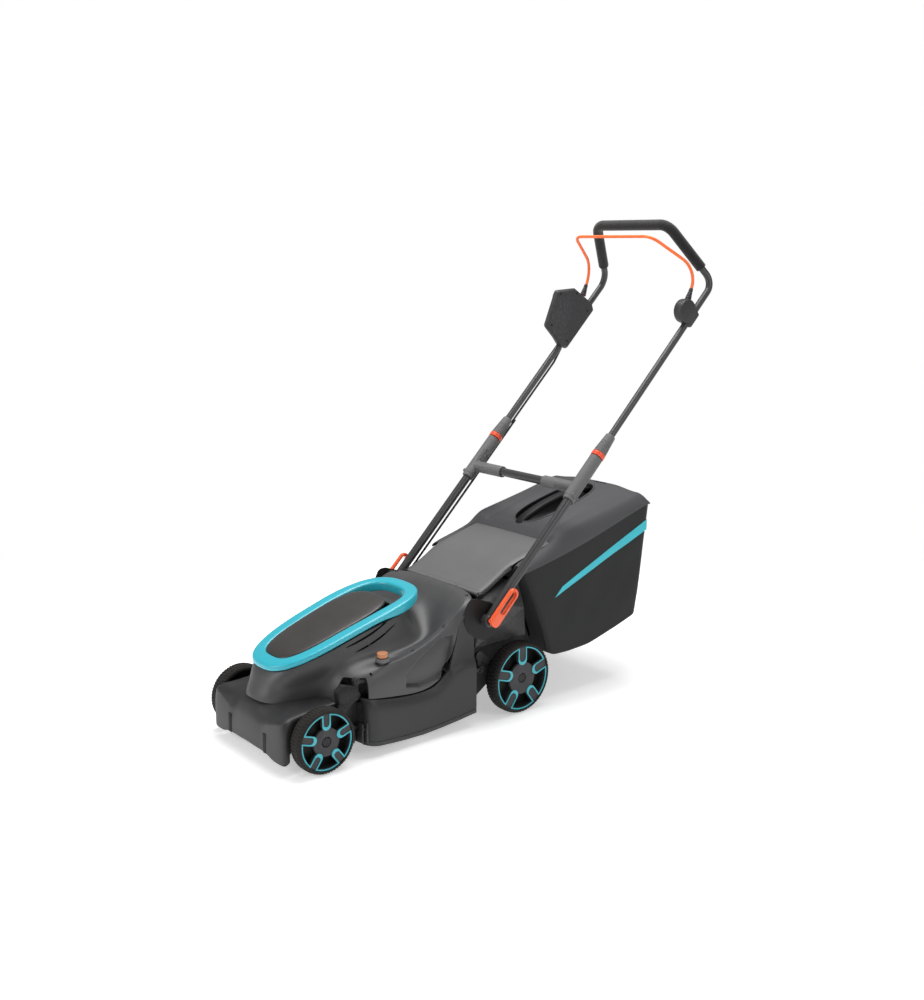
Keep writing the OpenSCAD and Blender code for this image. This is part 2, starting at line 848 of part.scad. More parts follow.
// Quick-release lever: a cam barrel across the pivot and a slotted arched blade
module lever(side) {
    on_side(side) translate([218.2, pivot_y, pivot_z]) rotate([-45, 0, 0]) difference() {
        union() {
            rotate([90, 0, 0]) translate([0, 0, -16]) cylinder(h = 32, r = 7);
            along_x(-2, 6) difference() {
                union() {
                    translate([-17, -5]) square([34, 63]);
                    translate([0, 58]) circle(r = 17);
                    translate([0, 76]) circle(r = 12);
                }
                translate([-7, 18]) square([14, 38]);
                translate([0, 56]) circle(r = 7);
            }
        }
        rotate([0, 90, 0]) translate([0, 0, -8]) cylinder(h = 2, r = 5);
    }
}

module lever_left() {
    color([1, 0.36, 0.1]) in_frame() lever(1);
}

module lever_right() {
    color([1, 0.36, 0.1]) in_frame() lever(-1);
}

// ---------------------------------------------------------------- upper handle

upper_start_s = 260;
low_end = [tube_x, pivot_y + upper_start_s / sqrt(2), pivot_z + upper_start_s / sqrt(2)];
bend_at = [tube_x, bend_y, pivot_z + bend_y - pivot_y];
bar_at = [bar_x, bar_y, bar_z];
function mirror_x(p) = [-p[0], p[1], p[2]];
bend_steps = 8;
bend_arc = corner(low_end, bend_at, bar_at, bend_r, bend_steps);
bar_arc = corner(bend_at, bar_at, mirror_x(bar_at), bend_r, bend_steps);
grip_end = bend_at + 50 * unit(bar_at - bend_at);

// The left half of a symmetric route, and then its mirror image
function both_halves(half) =
    let (n = len(half)) concat(half, [for (i = [1 : n]) mirror_x(half[n - i])]);

module upper_handle() {
    color([0.3, 0.3, 0.31]) in_frame()
        bent_bar(both_halves(concat([low_end], bend_arc, bar_arc)), upper_tube_r);
}

module foam_grip() {
    color([0.07, 0.07, 0.07]) in_frame()
        bent_tube(both_halves(concat([grip_end], bar_arc)), 14, upper_tube_r + running);
}

bail_x = 193;

// Room that the bail's pin and its leg sweep through inside a pivot housing
module bail_slot() {
    rod_x(bail_x - 12.5, bail_x + 12.5, [pod_y, pod_z], 5.95 + running);
    along_x(bail_x - 5.5, bail_x + 5.5) translate([pod_y, pod_z]) union() {
        circle(r = 9);
        polygon([[-5, 4], [12, 66], [56, 56], [66, 36], [6, -6]]);
    }
}

module switch_box() {
    color([0.2, 0.2, 0.21]) in_frame() difference() {
        along_x(-217, -176) polygon([[1024, 1010], [1095, 1014], [1162, 972], [1170, 950],
                                     [1066, 846], [1050, 852], [1014, 884], [984, 914]]);
        along_x(-214, -179) polygon([[1027, 1003], [1088, 1007], [1104, 997], [1104, 942],
                                     [1046, 888], [1020, 889], [990, 915]]);
        on_tube(0, -1) cylinder(h = 1200, r = upper_tube_r);
        rod_x(-220, -188, [1040, 950], 9);
        on_side(-1) bail_slot();
    }
}

module start_button() {
    color([0.95, 0.35, 0.12]) in_frame() rod_x(-221, -194, [1040, 950], 8.7);
}

module pivot_pod() {
    color([0.12, 0.12, 0.13]) in_frame() difference() {
        union() {
            rod_x(178, 217, [pod_y, pod_z], 34);
            along_x(180, 214) polygon([[1090, 960], [1112, 1004], [1150, 1004], [1172, 968],
                                       [1140, 934], [1108, 906]]);
        }
        on_tube() cylinder(h = 1200, r = upper_tube_r);
        bail_slot();
    }
}

// The bail turns on stubs that enter the pod and the switch box
module bail() {
    start = [bail_x, pod_y, pod_z];
    low = [bail_x, 1172, 1071];
    top = [138.7, 1050.3, 1155];
    half = concat([start], corner(start, low, top, 14, 3), corner(low, top, mirror_x(top), 24, 5));
    color([1, 0.36, 0.1]) in_frame() union() {
        bent_bar(both_halves(half), bail_r);
        for (side = [-1, 1]) {
            on_side(side) rod_x(bail_x - 12, bail_x + 12, [pod_y, pod_z], 5.95);
        }
    }
}

// ---------------------------------------------------------------- switch cable

// Runs down the right-hand tube, on its rear side, in two lengths that pass each other
function beside_tube(x, s, n) = [-x, pivot_y + (s + n) / sqrt(2), pivot_z + (s - n) / sqrt(2)];

module cable_upper() {
    color([0.05, 0.05, 0.05]) in_frame()
        path_bar([beside_tube(204, 575, 23), beside_tube(204, 800, 23), beside_tube(200, 842, 12)], 3);
}

module cable_lower() {
    color([0.05, 0.05, 0.05]) in_frame()
        path_bar([beside_tube(196, 34, 8), beside_tube(196, 62, 22), beside_tube(196, 586, 22)], 3);
}

// ---------------------------------------------------------------- grass box

box_front = [584, 345];
box_back = [1031, 432];

module bag_side(inset) {
    polygon([[586 + inset, 346 - inset], [1031 - inset, 433 - inset], [1029 - inset, 400],
             [989 - inset, 172 + inset], [980, 166 + inset], [816, 121 + inset],
             [744, 116 + inset], [690, 117 + inset], [676 + inset, 124 + inset]]);
}

module grass_bag() {
    half_w = box_half_w - 1;
    color([0.17, 0.17, 0.16]) in_frame() difference() {
        along_x(-half_w, half_w) bag_side(0);
        along_x(-half_w + box_wall, half_w - box_wall) bag_side(box_wall);
        along_x(-124, 124) polygon([[560, 332], [640, 332], [700, 150], [640, 150]]);
        along_x(-half_w + box_wall, half_w - box_wall) polygon([[596, 340], [1024, 423], [1020, 450], [590, 380]]);
    }
}

module lid_side(inset) {
    polygon([[586 + inset, 346.6 - inset], [588 + inset, 359 - inset], [702, 394 - inset],
             [722, 425 - inset], [884, 470 - inset], [990, 499 - inset], [1016, 502 - inset],
             [1028 - inset, 490 - inset], [1031 - inset, 470], [1031 - inset, 433.4 - inset]]);
}

module lid_section(inset) {
    w = box_half_w - inset;
    polygon([[-w, -200], [-w, -52], [-w + 16, -22], [-w + 50, 0], [-w + 100, 8], [w - 100, 8],
             [w - 50, 0], [w - 16, -22], [w, -52], [w, -200]]);
}

// Cross-section of the lid, run back along the slope of its top
module lid_crown(inset) {
    translate([0, 590, 388 - inset]) rotate([15.2, 0, 0]) rotate([90, 0, 0])
        translate([0, 0, -600]) linear_extrude(700) lid_section(inset);
}

module box_lid() {
    color([0.24, 0.24, 0.24]) in_frame() difference() {
        union() {
            difference() {
                intersection() {
                    along_x(-box_half_w, box_half_w) lid_side(0);
                    lid_crown(0);
                }
                intersection() {
                    along_x(-box_half_w + box_wall, box_half_w - box_wall) lid_side(box_wall);
                    lid_crown(box_wall);
                }
                // Open underside
                along_x(-box_half_w + box_wall, box_half_w - box_wall)
                    polygon([[596, 330], [1024, 410], [1024, 445], [596, 355]]);
            }
            // Tub below the carry handle
            intersection() {
                linear_extrude(far) polygon(egg(62, 130, 858, 2.6, 0, 0));
                along_x(-70, 70) polygon([[700, 396], [1000, 424], [1000, 600], [700, 600]]);
            }
        }
        intersection() {
            linear_extrude(far) polygon(egg(58, 126, 858, 2.6, 0, 0));
            along_x(-70, 70) polygon([[700, 400.5], [1000, 428.5], [1000, 600], [700, 600]]);
        }
        along_x(-90, 90) polygon([[700, 396], [722, 429], [884, 474], [990, 503], [1000, 600], [700, 600]]);
        // Slot for the level flap
        translate([24, 1006, 490]) cube([44, 10.6, 40], center = true);
    }
    color([0.1, 0.1, 0.1]) in_frame() along_x(-13, 13)
        polygon([[727, 396], [727, 428], [771, 452], [826, 473], [896, 489], [960, 492],
                 [990, 486], [990, 452], [975, 474], [900, 470], [830, 452], [770, 430],
                 [745, 412], [742, 396]]);
}

module level_flap() {
    color([0.15, 0.15, 0.15]) in_frame() union() {
        translate([4, 1001.4, 490]) cube([40, 9, 3]);
        rod_x(3, 45, [1003.2, 491.5], 1.8);
    }
}

deck_housing();
hood_cover();
ring_handle();
battery_bay();
battery_packs();
safety_key();
motor();
controller_box();
button_collar();
bracket_left();
bracket_right();
cover_screws();
flap_hinge_pin();
battery_lid();
blade();
blade_holder();
blade_bolt();
motor_shaft();
height_button();
rear_flap();
front_axle();
rear_axle();
link_rod();
axle_nuts_front();
axle_nuts_rear();
tyre_front_left();
rim_front_left();
trim_front_left();
tyre_front_right();
rim_front_right();
trim_front_right();
tyre_rear_left();
rim_rear_left();
trim_rear_left();
tyre_rear_right();
rim_rear_right();
trim_rear_right();
lower_tube_left();
lower_tube_right();
tee_left();
tee_right();
cross_tube();
cable_lower();
clamp_ring_left();
clamp_sleeve_left();
clamp_ring_right();
clamp_sleeve_right();
lever_left();
lever_right();
upper_handle();
foam_grip();
switch_box();
pivot_pod();
cable_upper();
bail();
start_button();
box_lid();
grass_bag();
level_flap();
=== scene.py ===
"""Battery rotary lawn mower with a rear grass box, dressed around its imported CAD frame.

Every size below is in millimetres and measured from the front axle, as the maker's drawings are,
and at() moves it to the shared frame in metres. X is the mower's left, +Y its rear, Z up.
"""

from __future__ import annotations

import logging
import math
import sys
from dataclasses import dataclass, field
from enum import Enum
from typing import Callable, Sequence

import bmesh
import bpy
from mathutils import Matrix, Vector

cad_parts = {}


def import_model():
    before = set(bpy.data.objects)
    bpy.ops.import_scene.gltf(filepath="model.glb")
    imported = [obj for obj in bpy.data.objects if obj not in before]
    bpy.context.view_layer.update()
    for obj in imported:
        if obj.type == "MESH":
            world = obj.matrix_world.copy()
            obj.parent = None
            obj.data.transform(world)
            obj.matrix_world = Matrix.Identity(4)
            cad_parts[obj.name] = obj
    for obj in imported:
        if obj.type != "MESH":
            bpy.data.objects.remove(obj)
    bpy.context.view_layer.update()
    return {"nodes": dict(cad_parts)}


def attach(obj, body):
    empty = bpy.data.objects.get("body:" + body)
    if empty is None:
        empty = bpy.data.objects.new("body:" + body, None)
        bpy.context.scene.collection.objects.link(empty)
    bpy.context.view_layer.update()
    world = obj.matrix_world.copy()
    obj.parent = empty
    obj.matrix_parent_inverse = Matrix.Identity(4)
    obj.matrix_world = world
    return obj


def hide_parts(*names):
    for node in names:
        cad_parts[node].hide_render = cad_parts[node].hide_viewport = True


MM = 0.001
AXLE_TO_ORIGIN = 570.67
PIVOT = (458, 260)
TUBE_X = 196.0
SLOPE = math.sqrt(0.5)
SIDES = (("left", 1), ("right", -1))
Colour = tuple[float, float, float]
Pair = tuple[float, float]
Point = tuple[float, float, float]

log = logging.getLogger("mower")


def at(x: float, y: float, z: float) -> Vector:
    """Turn a drawing point into the shared frame.

    Args:
        x: Millimetres to the mower's left.
        y: Millimetres behind the front axle.
        z: Millimetres above the ground.

    Returns:
        The point in metres.
    """
    return Vector((x * MM, (y - AXLE_TO_ORIGIN) * MM, z * MM))


def mix(a: float, b: float, share: float) -> float:
    """Return the number that lies the given share of the way from a to b."""
    return a + (b - a) * share


def ease(share: float) -> float:
    """Return a 0 to 1 share with soft ends."""
    share = min(1.0, max(0.0, share))
    return share * share * (3 - 2 * share)


# ------------------------------------------------------------------ workbench


def clear_selection() -> None:
    """Leave edit mode and drop every selected object."""
    if bpy.context.object and bpy.context.object.mode != "OBJECT":
        bpy.ops.object.mode_set(mode="OBJECT")
    bpy.ops.object.select_all(action="DESELECT")


def take_up(piece: bpy.types.Object) -> bpy.types.Object:
    """Make one piece the only selected and active object.

    Args:
        piece: The piece.

    Returns:
        The piece.
    """
    clear_selection()
    piece.select_set(True)
    bpy.context.view_layer.objects.active = piece
    return piece


def start_edit(piece: bpy.types.Object, mode: str = "FACE",
               whole: bool = False) -> bmesh.types.BMesh:
    """Open a piece in edit mode.

    Args:
        piece: The piece to work on.
        mode: What is selected: VERT, EDGE or FACE.
        whole: Whether all of it is selected, or nothing.

    Returns:
        The edit mesh.
    """
    take_up(piece)
    bpy.ops.object.mode_set(mode="EDIT")
    bpy.ops.mesh.select_mode(type=mode)
    bpy.ops.mesh.select_all(action="SELECT" if whole else "DESELECT")
    return bmesh.from_edit_mesh(piece.data)


def end_edit(piece: bpy.types.Object) -> bpy.types.Object:
    """Leave edit mode and return the piece."""
    bpy.ops.object.mode_set(mode="OBJECT")
    return piece


def pick_faces(piece: bpy.types.Object, wanted: Callable[[bmesh.types.BMFace], bool]) -> None:
    """Select the faces that a test accepts, in edit mode.

    Args:
        piece: The piece in edit mode.
        wanted: Says whether a face is picked.
    """
    mesh = bmesh.from_edit_mesh(piece.data)
    bpy.ops.mesh.select_all(action="DESELECT")
    bpy.ops.mesh.select_mode(type="FACE")
    for face in mesh.faces:
        if wanted(face):
            face.select_set(True)
    bmesh.update_edit_mesh(piece.data)


def sound_normals(piece: bpy.types.Object, merge: float = 1e-5) -> bpy.types.Object:
    """Merge doubles and turn every face outwards.

    Args:
        piece: The piece to mend.
        merge: Points nearer than this become one, in metres.

    Returns:
        The piece.
    """
    start_edit(piece, whole=True)
    bpy.ops.mesh.remove_doubles(threshold=merge)
    bpy.ops.mesh.normals_make_consistent(inside=False)
    return end_edit(piece)


def with_modifier(piece: bpy.types.Object, kind: str, **values: object) -> bpy.types.Object:
    """Add a modifier, set it and apply it.

    Args:
        piece: The piece to change.
        kind: Blender's name of the modifier's type.
        **values: Settings of the modifier.

    Returns:
        The piece.
    """
    take_up(piece)
    modifier = piece.modifiers.new(kind.title(), kind)
    for key, value in values.items():
        setattr(modifier, key, value)
    bpy.ops.object.modifier_apply(modifier=modifier.name)
    return piece


def rounded(piece: bpy.types.Object, levels: int) -> bpy.types.Object:
    """Apply a subdivision surface of that many levels."""
    return with_modifier(piece, "SUBSURF", levels=levels, render_levels=levels)


def smooth(piece: bpy.types.Object, angle: float = 35.0) -> bpy.types.Object:
    """Shade a piece smooth wherever its faces meet at less than the angle, in degrees.

    Args:
        piece: The piece.
        angle: The least turn that stays sharp, in degrees.

    Returns:
        The piece.
    """
    take_up(piece)
    bpy.ops.object.shade_smooth_by_angle(angle=math.radians(angle))
    return piece


def bevelled(piece: bpy.types.Object, width: float, angle: float = 35.0,
             segments: int = 2) -> bpy.types.Object:
    """Round every edge that turns by more than an angle.

    Args:
        piece: The piece to round.
        width: Width of the rounding in millimetres.
        angle: The least turn that is rounded, in degrees.
        segments: How many strips the rounding has.

    Returns:
        The piece.
    """
    return with_modifier(piece, "BEVEL", width=width * MM, segments=segments,
                         limit_method="ANGLE", angle_limit=math.radians(angle),
                         use_clamp_overlap=False, miter_outer="MITER_ARC")


def loft(name: str, sections: Sequence[Sequence[Vector]], closed: bool = True,
         caps: bool = False, loop: bool = False) -> bpy.types.Object:
    """Run a skin through a row of sections, by extruding the first one step by step.

    Args:
        name: Name of the new piece.
        sections: Rows of points in metres, all of the same count.
        closed: Whether each section closes on itself.
        caps: Whether the two ends are filled.
        loop: Whether the last section joins the first one.

    Returns:
        The new piece.
    """
    clear_selection()
    count = len(sections[0])
    bpy.ops.mesh.primitive_circle_add(vertices=count, radius=0.01, fill_type="NOTHING")
    piece = bpy.context.object
    piece.name = name
    piece.data.name = name
    piece.matrix_world = Matrix.Identity(4)
    bpy.ops.object.mode_set(mode="EDIT")
    bpy.ops.mesh.select_mode(type="EDGE")
    mesh = bmesh.from_edit_mesh(piece.data)
    mesh.verts.ensure_lookup_table()
    ring = list(range(count))
    for index, point in zip(ring, sections[0]):
        mesh.verts[index].co = point
    if not closed:
        mesh.edges.remove(mesh.edges.get((mesh.verts[ring[-1]], mesh.verts[ring[0]])))
    bmesh.update_edit_mesh(piece.data)
    if caps:
        bpy.ops.mesh.select_all(action="SELECT")
        bpy.ops.mesh.edge_face_add()
    for section in sections[1:]:
        bpy.ops.mesh.extrude_edges_move()
        mesh = bmesh.from_edit_mesh(piece.data)
        mesh.verts.ensure_lookup_table()
        mesh.verts.index_update()
        following = []
        for index in ring:
            vert = mesh.verts[index]
            following.append(next(e.other_vert(vert).index for e in vert.link_edges
                                  if e.other_vert(vert).select and e.other_vert(vert).index not in ring))
        ring = following
        for index, point in zip(ring, section):
            mesh.verts[index].co = point
        bmesh.update_edit_mesh(piece.data)
    if caps:
        bpy.ops.mesh.edge_face_add()
    bpy.ops.object.mode_set(mode="OBJECT")
    if loop:
        return sound_normals(piece)
    return sound_normals(piece, 1e-7)


def cut_away(piece: bpy.types.Object, cutter: bpy.types.Object) -> bpy.types.Object:
    """Take a cutter's shape out of a piece and throw the cutter away.

    Args:
        piece: The piece.
        cutter: The shape taken away.

    Returns:
        The piece.
    """
    with_modifier(piece, "BOOLEAN", operation="DIFFERENCE", object=cutter, solver="EXACT")
    bpy.data.objects.remove(cutter)
    return piece


def rod(name: str, start: Vector, end: Vector, radius: float, radius_end: float | None = None,
        sides: int = 24) -> bpy.types.Object:
    """Make a closed straight rod or cone.

    Args:
        name: Name of the new piece.
        start: First end in metres.
        end: Last end in metres.
        radius: Radius at the start in millimetres.
        radius_end: Radius at the end, where it differs.
        sides: Number of flats round it.

    Returns:
        The new piece.
    """
    last = radius if radius_end is None else radius_end
    return sweep(name, [start, end], [radius, last], sides)


def frames_along(path: Sequence[Vector]) -> list[tuple[Vector, Vector]]:
    """Return two cross directions at every point of a path, turned as little as can be.

    Args:
        path: Points in metres.

    Returns:
        Two unit directions for each point.
    """
    found: list[tuple[Vector, Vector]] = []
    across = None
    for i, point in enumerate(path):
        ahead = path[min(i + 1, len(path) - 1)] - point
        behind = point - path[max(i - 1, 0)]
        along = (ahead.normalized() if ahead.length > 1e-9 else Vector()) + \
                (behind.normalized() if behind.length > 1e-9 else Vector())
        along.normalize()
        if across is None:
            seed = Vector((1, 0, 0)) if abs(along.x) < 0.9 else Vector((0, 0, 1))
            across = (seed - along * seed.dot(along)).normalized()
        else:
            across = (across - along * across.dot(along)).normalized()
        found.append((across.copy(), along.cross(across).normalized()))
    return found


def sweep(name: str, path: Sequence[Vector], radii: float | Sequence[float],
          sides: int = 24) -> bpy.types.Object:
    """Run a round skin along a path and close its ends.

    Args:
        name: Name of the new piece.
        path: Points in metres.
        radii: One radius in millimetres, or one for each point.
        sides: Number of flats round it.

    Returns:
        The new piece.
    """
    sizes = [radii] * len(path) if isinstance(radii, (int, float)) else list(radii)
    sections = []
    for point, size, (across, over) in zip(path, sizes, frames_along(path)):
        turns = [2 * math.pi * k / sides for k in range(sides)]
        sections.append([point + (across * math.cos(t) + over * math.sin(t)) * size * MM for t in turns])
    return smooth(loft(name, sections, caps=True), 40.0)


def round_corners(points: Sequence[Vector], radii: Sequence[float],
                  steps: int = 10) -> list[Vector]:
    """Round the corners of a line of points.

    Args:
        points: The corners in metres.
        radii: Bend radius at each corner in millimetres, 0 at the ends.
        steps: Points along each bend.

    Returns:
        The points of the smooth line.
    """
    found: list[Vector] = []
    for i, point in enumerate(points):
        if radii[i] == 0:
            found.append(point)
            continue
        u = (points[i - 1] - point).normalized()
        w = (points[i + 1] - point).normalized()
        half = math.acos(max(-1.0, min(1.0, u.dot(w)))) / 2
        size = radii[i] * MM
        middle = point + (u + w).normalized() * size / math.sin(half)
        a, b = point + u * size / math.tan(half) - middle, point + w * size / math.tan(half) - middle
        turn = math.pi - 2 * half
        found += [middle + (a * math.sin(turn * (1 - k / steps)) + b * math.sin(turn * k / steps))
                  / math.sin(turn) for k in range(steps + 1)]
    return found


def joined(name: str, pieces: Sequence[bpy.types.Object]) -> bpy.types.Object:
    """Join several pieces into one.

    Args:
        name: Name of the joined piece.
        pieces: The pieces, all at the origin.

    Returns:
        The joined piece.
    """
    clear_selection()
    for piece in pieces:
        piece.select_set(True)
    bpy.context.view_layer.objects.active = pieces[0]
    bpy.ops.object.join()
    pieces[0].name = name
    pieces[0].data.name = name
    return pieces[0]


def block(name: str, low: Vector, high: Vector, edge: float = 0.0) -> bpy.types.Object:
    """Make a box between two corners, with rounded edges.

    Args:
        name: Name of the new piece.
        low: Lowest corner in metres.
        high: Highest corner in metres.
        edge: Rounding of its edges in millimetres.

    Returns:
        The new piece.
    """
    clear_selection()
    bpy.ops.mesh.primitive_cube_add(size=1.0)
    piece = bpy.context.object
    piece.name = name
    piece.data.name = name
    lowest = Vector([min(a, b) for a, b in zip(low, high)])
    highest = Vector([max(a, b) for a, b in zip(low, high)])
    piece.data.transform(Matrix.Translation((lowest + highest) / 2)
                         @ Matrix.Diagonal((*(highest - lowest), 1.0)))
    return bevelled(piece, edge, 30.0, 3) if edge else piece


def face_up(shell: bpy.types.Object) -> None:
    """Turn an open shell's faces so that its top faces up.

    Args:
        shell: The shell.
    """
    if sum(f.normal.z * f.area for f in shell.data.polygons) < 0:
        start_edit(shell, whole=True)
        bpy.ops.mesh.flip_normals()
        end_edit(shell)


def caged(name: str, cage: Sequence[Sequence[Point]], creases: Sequence[tuple[int, int, int,
                                                                              float]],
          levels: int) -> bpy.types.Object:
    """Make an open shell from the control cage of its left half.

    Args:
        name: Name of the new piece.
        cage: Stations from the middle outwards, each a row of points in millimetres.
        creases: Row, first and last station, and sharpness of each sharpened line.
        levels: How often the cage is subdivided.

    Returns:
        The new piece, without thickness.
    """
    rows = [[at(*p) for p in station] for station in cage]
    shell = loft(name, rows, closed=False)
    wanted = {}
    for row, first, last, weight in creases:
        for station in range(first, last):
            middle = (rows[station][row] + rows[station + 1][row]) / 2
            wanted[tuple(round(c, 5) for c in middle)] = weight
    mesh = start_edit(shell, "EDGE")
    layer = mesh.edges.layers.float.get("crease_edge") or mesh.edges.layers.float.new("crease_edge")
    for edge in mesh.edges:
        middle = (edge.verts[0].co + edge.verts[1].co) / 2
        edge[layer] = wanted.get(tuple(round(c, 5) for c in middle), 0.0)
    bmesh.update_edit_mesh(shell.data)
    end_edit(shell)
    with_modifier(shell, "MIRROR", use_axis=(True, False, False), merge_threshold=1e-5)
    rounded(shell, levels)
    sound_normals(shell)
    face_up(shell)
    return shell


# ------------------------------------------------------------------ outlines and lines


def follow(line: Sequence[Pair], u: float) -> float:
    """Return the second value of a line of points where the first one is u.

    Args:
        line: Pairs, rising in their first value.
        u: The first value to look up.

    Returns:
        The second value there.
    """
    if u <= line[0][0]:
        return line[0][1]
    for (a, va), (b, vb) in zip(line, line[1:]):
        if u <= b:
            return mix(va, vb, (u - a) / (b - a))
    return line[-1][1]


def round_path(points: Sequence[Vector], fine: int) -> list[Vector]:
    """Run a smooth line through points.

    Args:
        points: The points the line passes.
        fine: Steps between neighbours.

    Returns:
        The points of the smooth line.
    """
    found = []
    for i in range(len(points) - 1):
        p0, p1 = points[max(i - 1, 0)], points[i]
        p2, p3 = points[i + 1], points[min(i + 2, len(points) - 1)]
        for k in range(fine):
            t = k / fine
            found.append(0.5 * ((2 * p1) + (p2 - p0) * t + (2 * p0 - 5 * p1 + 4 * p2 - p3) * t * t
                                + (3 * p1 - p0 - 3 * p2 + p3) * t ** 3))
    return [*found, points[-1]]


def depth_inside(outline: Sequence[Pair], u: float, v: float) -> float:
    """Measure how deep a point lies inside an outline.

    Args:
        outline: Corners in order.
        u: First coordinate of the point.
        v: Second coordinate of the point.

    Returns:
        The distance to the nearest side, negative outside.
    """
    inside, nearest = False, 1e9
    for (a, b), (c, d) in zip(outline, [*outline[1:], outline[0]]):
        if (b > v) != (d > v) and u < (c - a) * (v - b) / (d - b) + a:
            inside = not inside
        length = (c - a) ** 2 + (d - b) ** 2
        share = max(0.0, min(1.0, ((u - a) * (c - a) + (v - b) * (d - b)) / length))
        nearest = min(nearest, math.hypot(u - a - share * (c - a), v - b - share * (d - b)))
    return nearest if inside else -nearest


def round_plan(corners: Sequence[Pair], radius: float, steps: int = 5) -> list[Pair]:
    """Round the corners of a closed outline.

    Args:
        corners: The corners in order.
        radius: Radius of each corner.
        steps: Points along each corner.

    Returns:
        The rounded outline.
    """
    found = []
    for i, corner in enumerate(corners):
        before, after = Vector((*corners[i - 1], 0)), Vector((*corners[(i + 1) % len(corners)], 0))
        here = Vector((*corner, 0))
        room = 0.48 * min((before - here).length, (after - here).length)
        u, w = (before - here).normalized(), (after - here).normalized()
        half = math.acos(max(-1.0, min(1.0, u.dot(w)))) / 2
        size = min(radius, room * math.tan(half))
        middle = here + (u + w).normalized() * size / math.sin(half)
        a, b = here + u * size / math.tan(half) - middle, here + w * size / math.tan(half) - middle
        turn = math.pi - 2 * half
        for k in range(steps + 1):
            point = middle + (a * math.sin(turn * (1 - k / steps)) + b * math.sin(turn * k / steps)) \
                / math.sin(turn)
            found.append((point.x, point.y))
    return found


def drawn_in(outline: Sequence[Pair], by: float) -> list[Pair]:
    """Move every corner of a closed outline inwards.

    Args:
        outline: The corners in order.
        by: How far, in the outline's units.

    Returns:
        The smaller outline.
    """
    area = sum(a * d - b * c for (a, b), (c, d) in zip(outline, [*outline[1:], outline[0]]))
    turn = math.copysign(1.0, area)
    found = []
    for i, (x, y) in enumerate(outline):
        before, after = outline[i - 1], outline[(i + 1) % len(outline)]
        u = Vector((x - before[0], y - before[1])).normalized()
        w = Vector((after[0] - x, after[1] - y)).normalized()
        m = Vector((-u.y - w.y, u.x + w.x)) * turn
        m = m / max(0.5, m.length_squared / 2) if m.length > 1e-9 else Vector((0, 0))
        found.append((x + m.x * by, y + m.y * by))
    return found


def plate(name: str, outline: Sequence[Pair], levels: Sequence[Pair],
          radius: float = 0.0) -> bpy.types.Object:
    """Make a plate from a side view, as a stack of drawn-in outlines along X.

    Args:
        name: Name of the new piece.
        outline: Corners as y and z in millimetres.
        levels: Pairs of x and how far the outline is drawn in there.
        radius: Rounding of the outline's corners.

    Returns:
        The new piece.
    """
    rows = []
    for x, by in levels:
        shape = drawn_in(outline, by)
        if radius:
            shape = round_plan(shape, max(1.0, radius - by))
        rows.append([at(x, y, z) for y, z in shape])
    return smooth(loft(name, rows, caps=True), 40.0)


# ------------------------------------------------------------------ finishes


def socket_in(tree: bpy.types.ShaderNodeTree, name: str, kind: str, value: float = 0.0) -> None:
    """Add an input socket with its default to a node group.

    Args:
        tree: The node group.
        name: Name of the socket.
        kind: Blender's socket type.
        value: Its default.
    """
    socket = tree.interface.new_socket(name=name, in_out="INPUT", socket_type=kind)
    if kind == "NodeSocketFloat":
        socket.default_value = value


def socket_out(tree: bpy.types.ShaderNodeTree, name: str, kind: str = "NodeSocketFloat") -> None:
    """Add an output socket to a node group."""
    tree.interface.new_socket(name=name, in_out="OUTPUT", socket_type=kind)


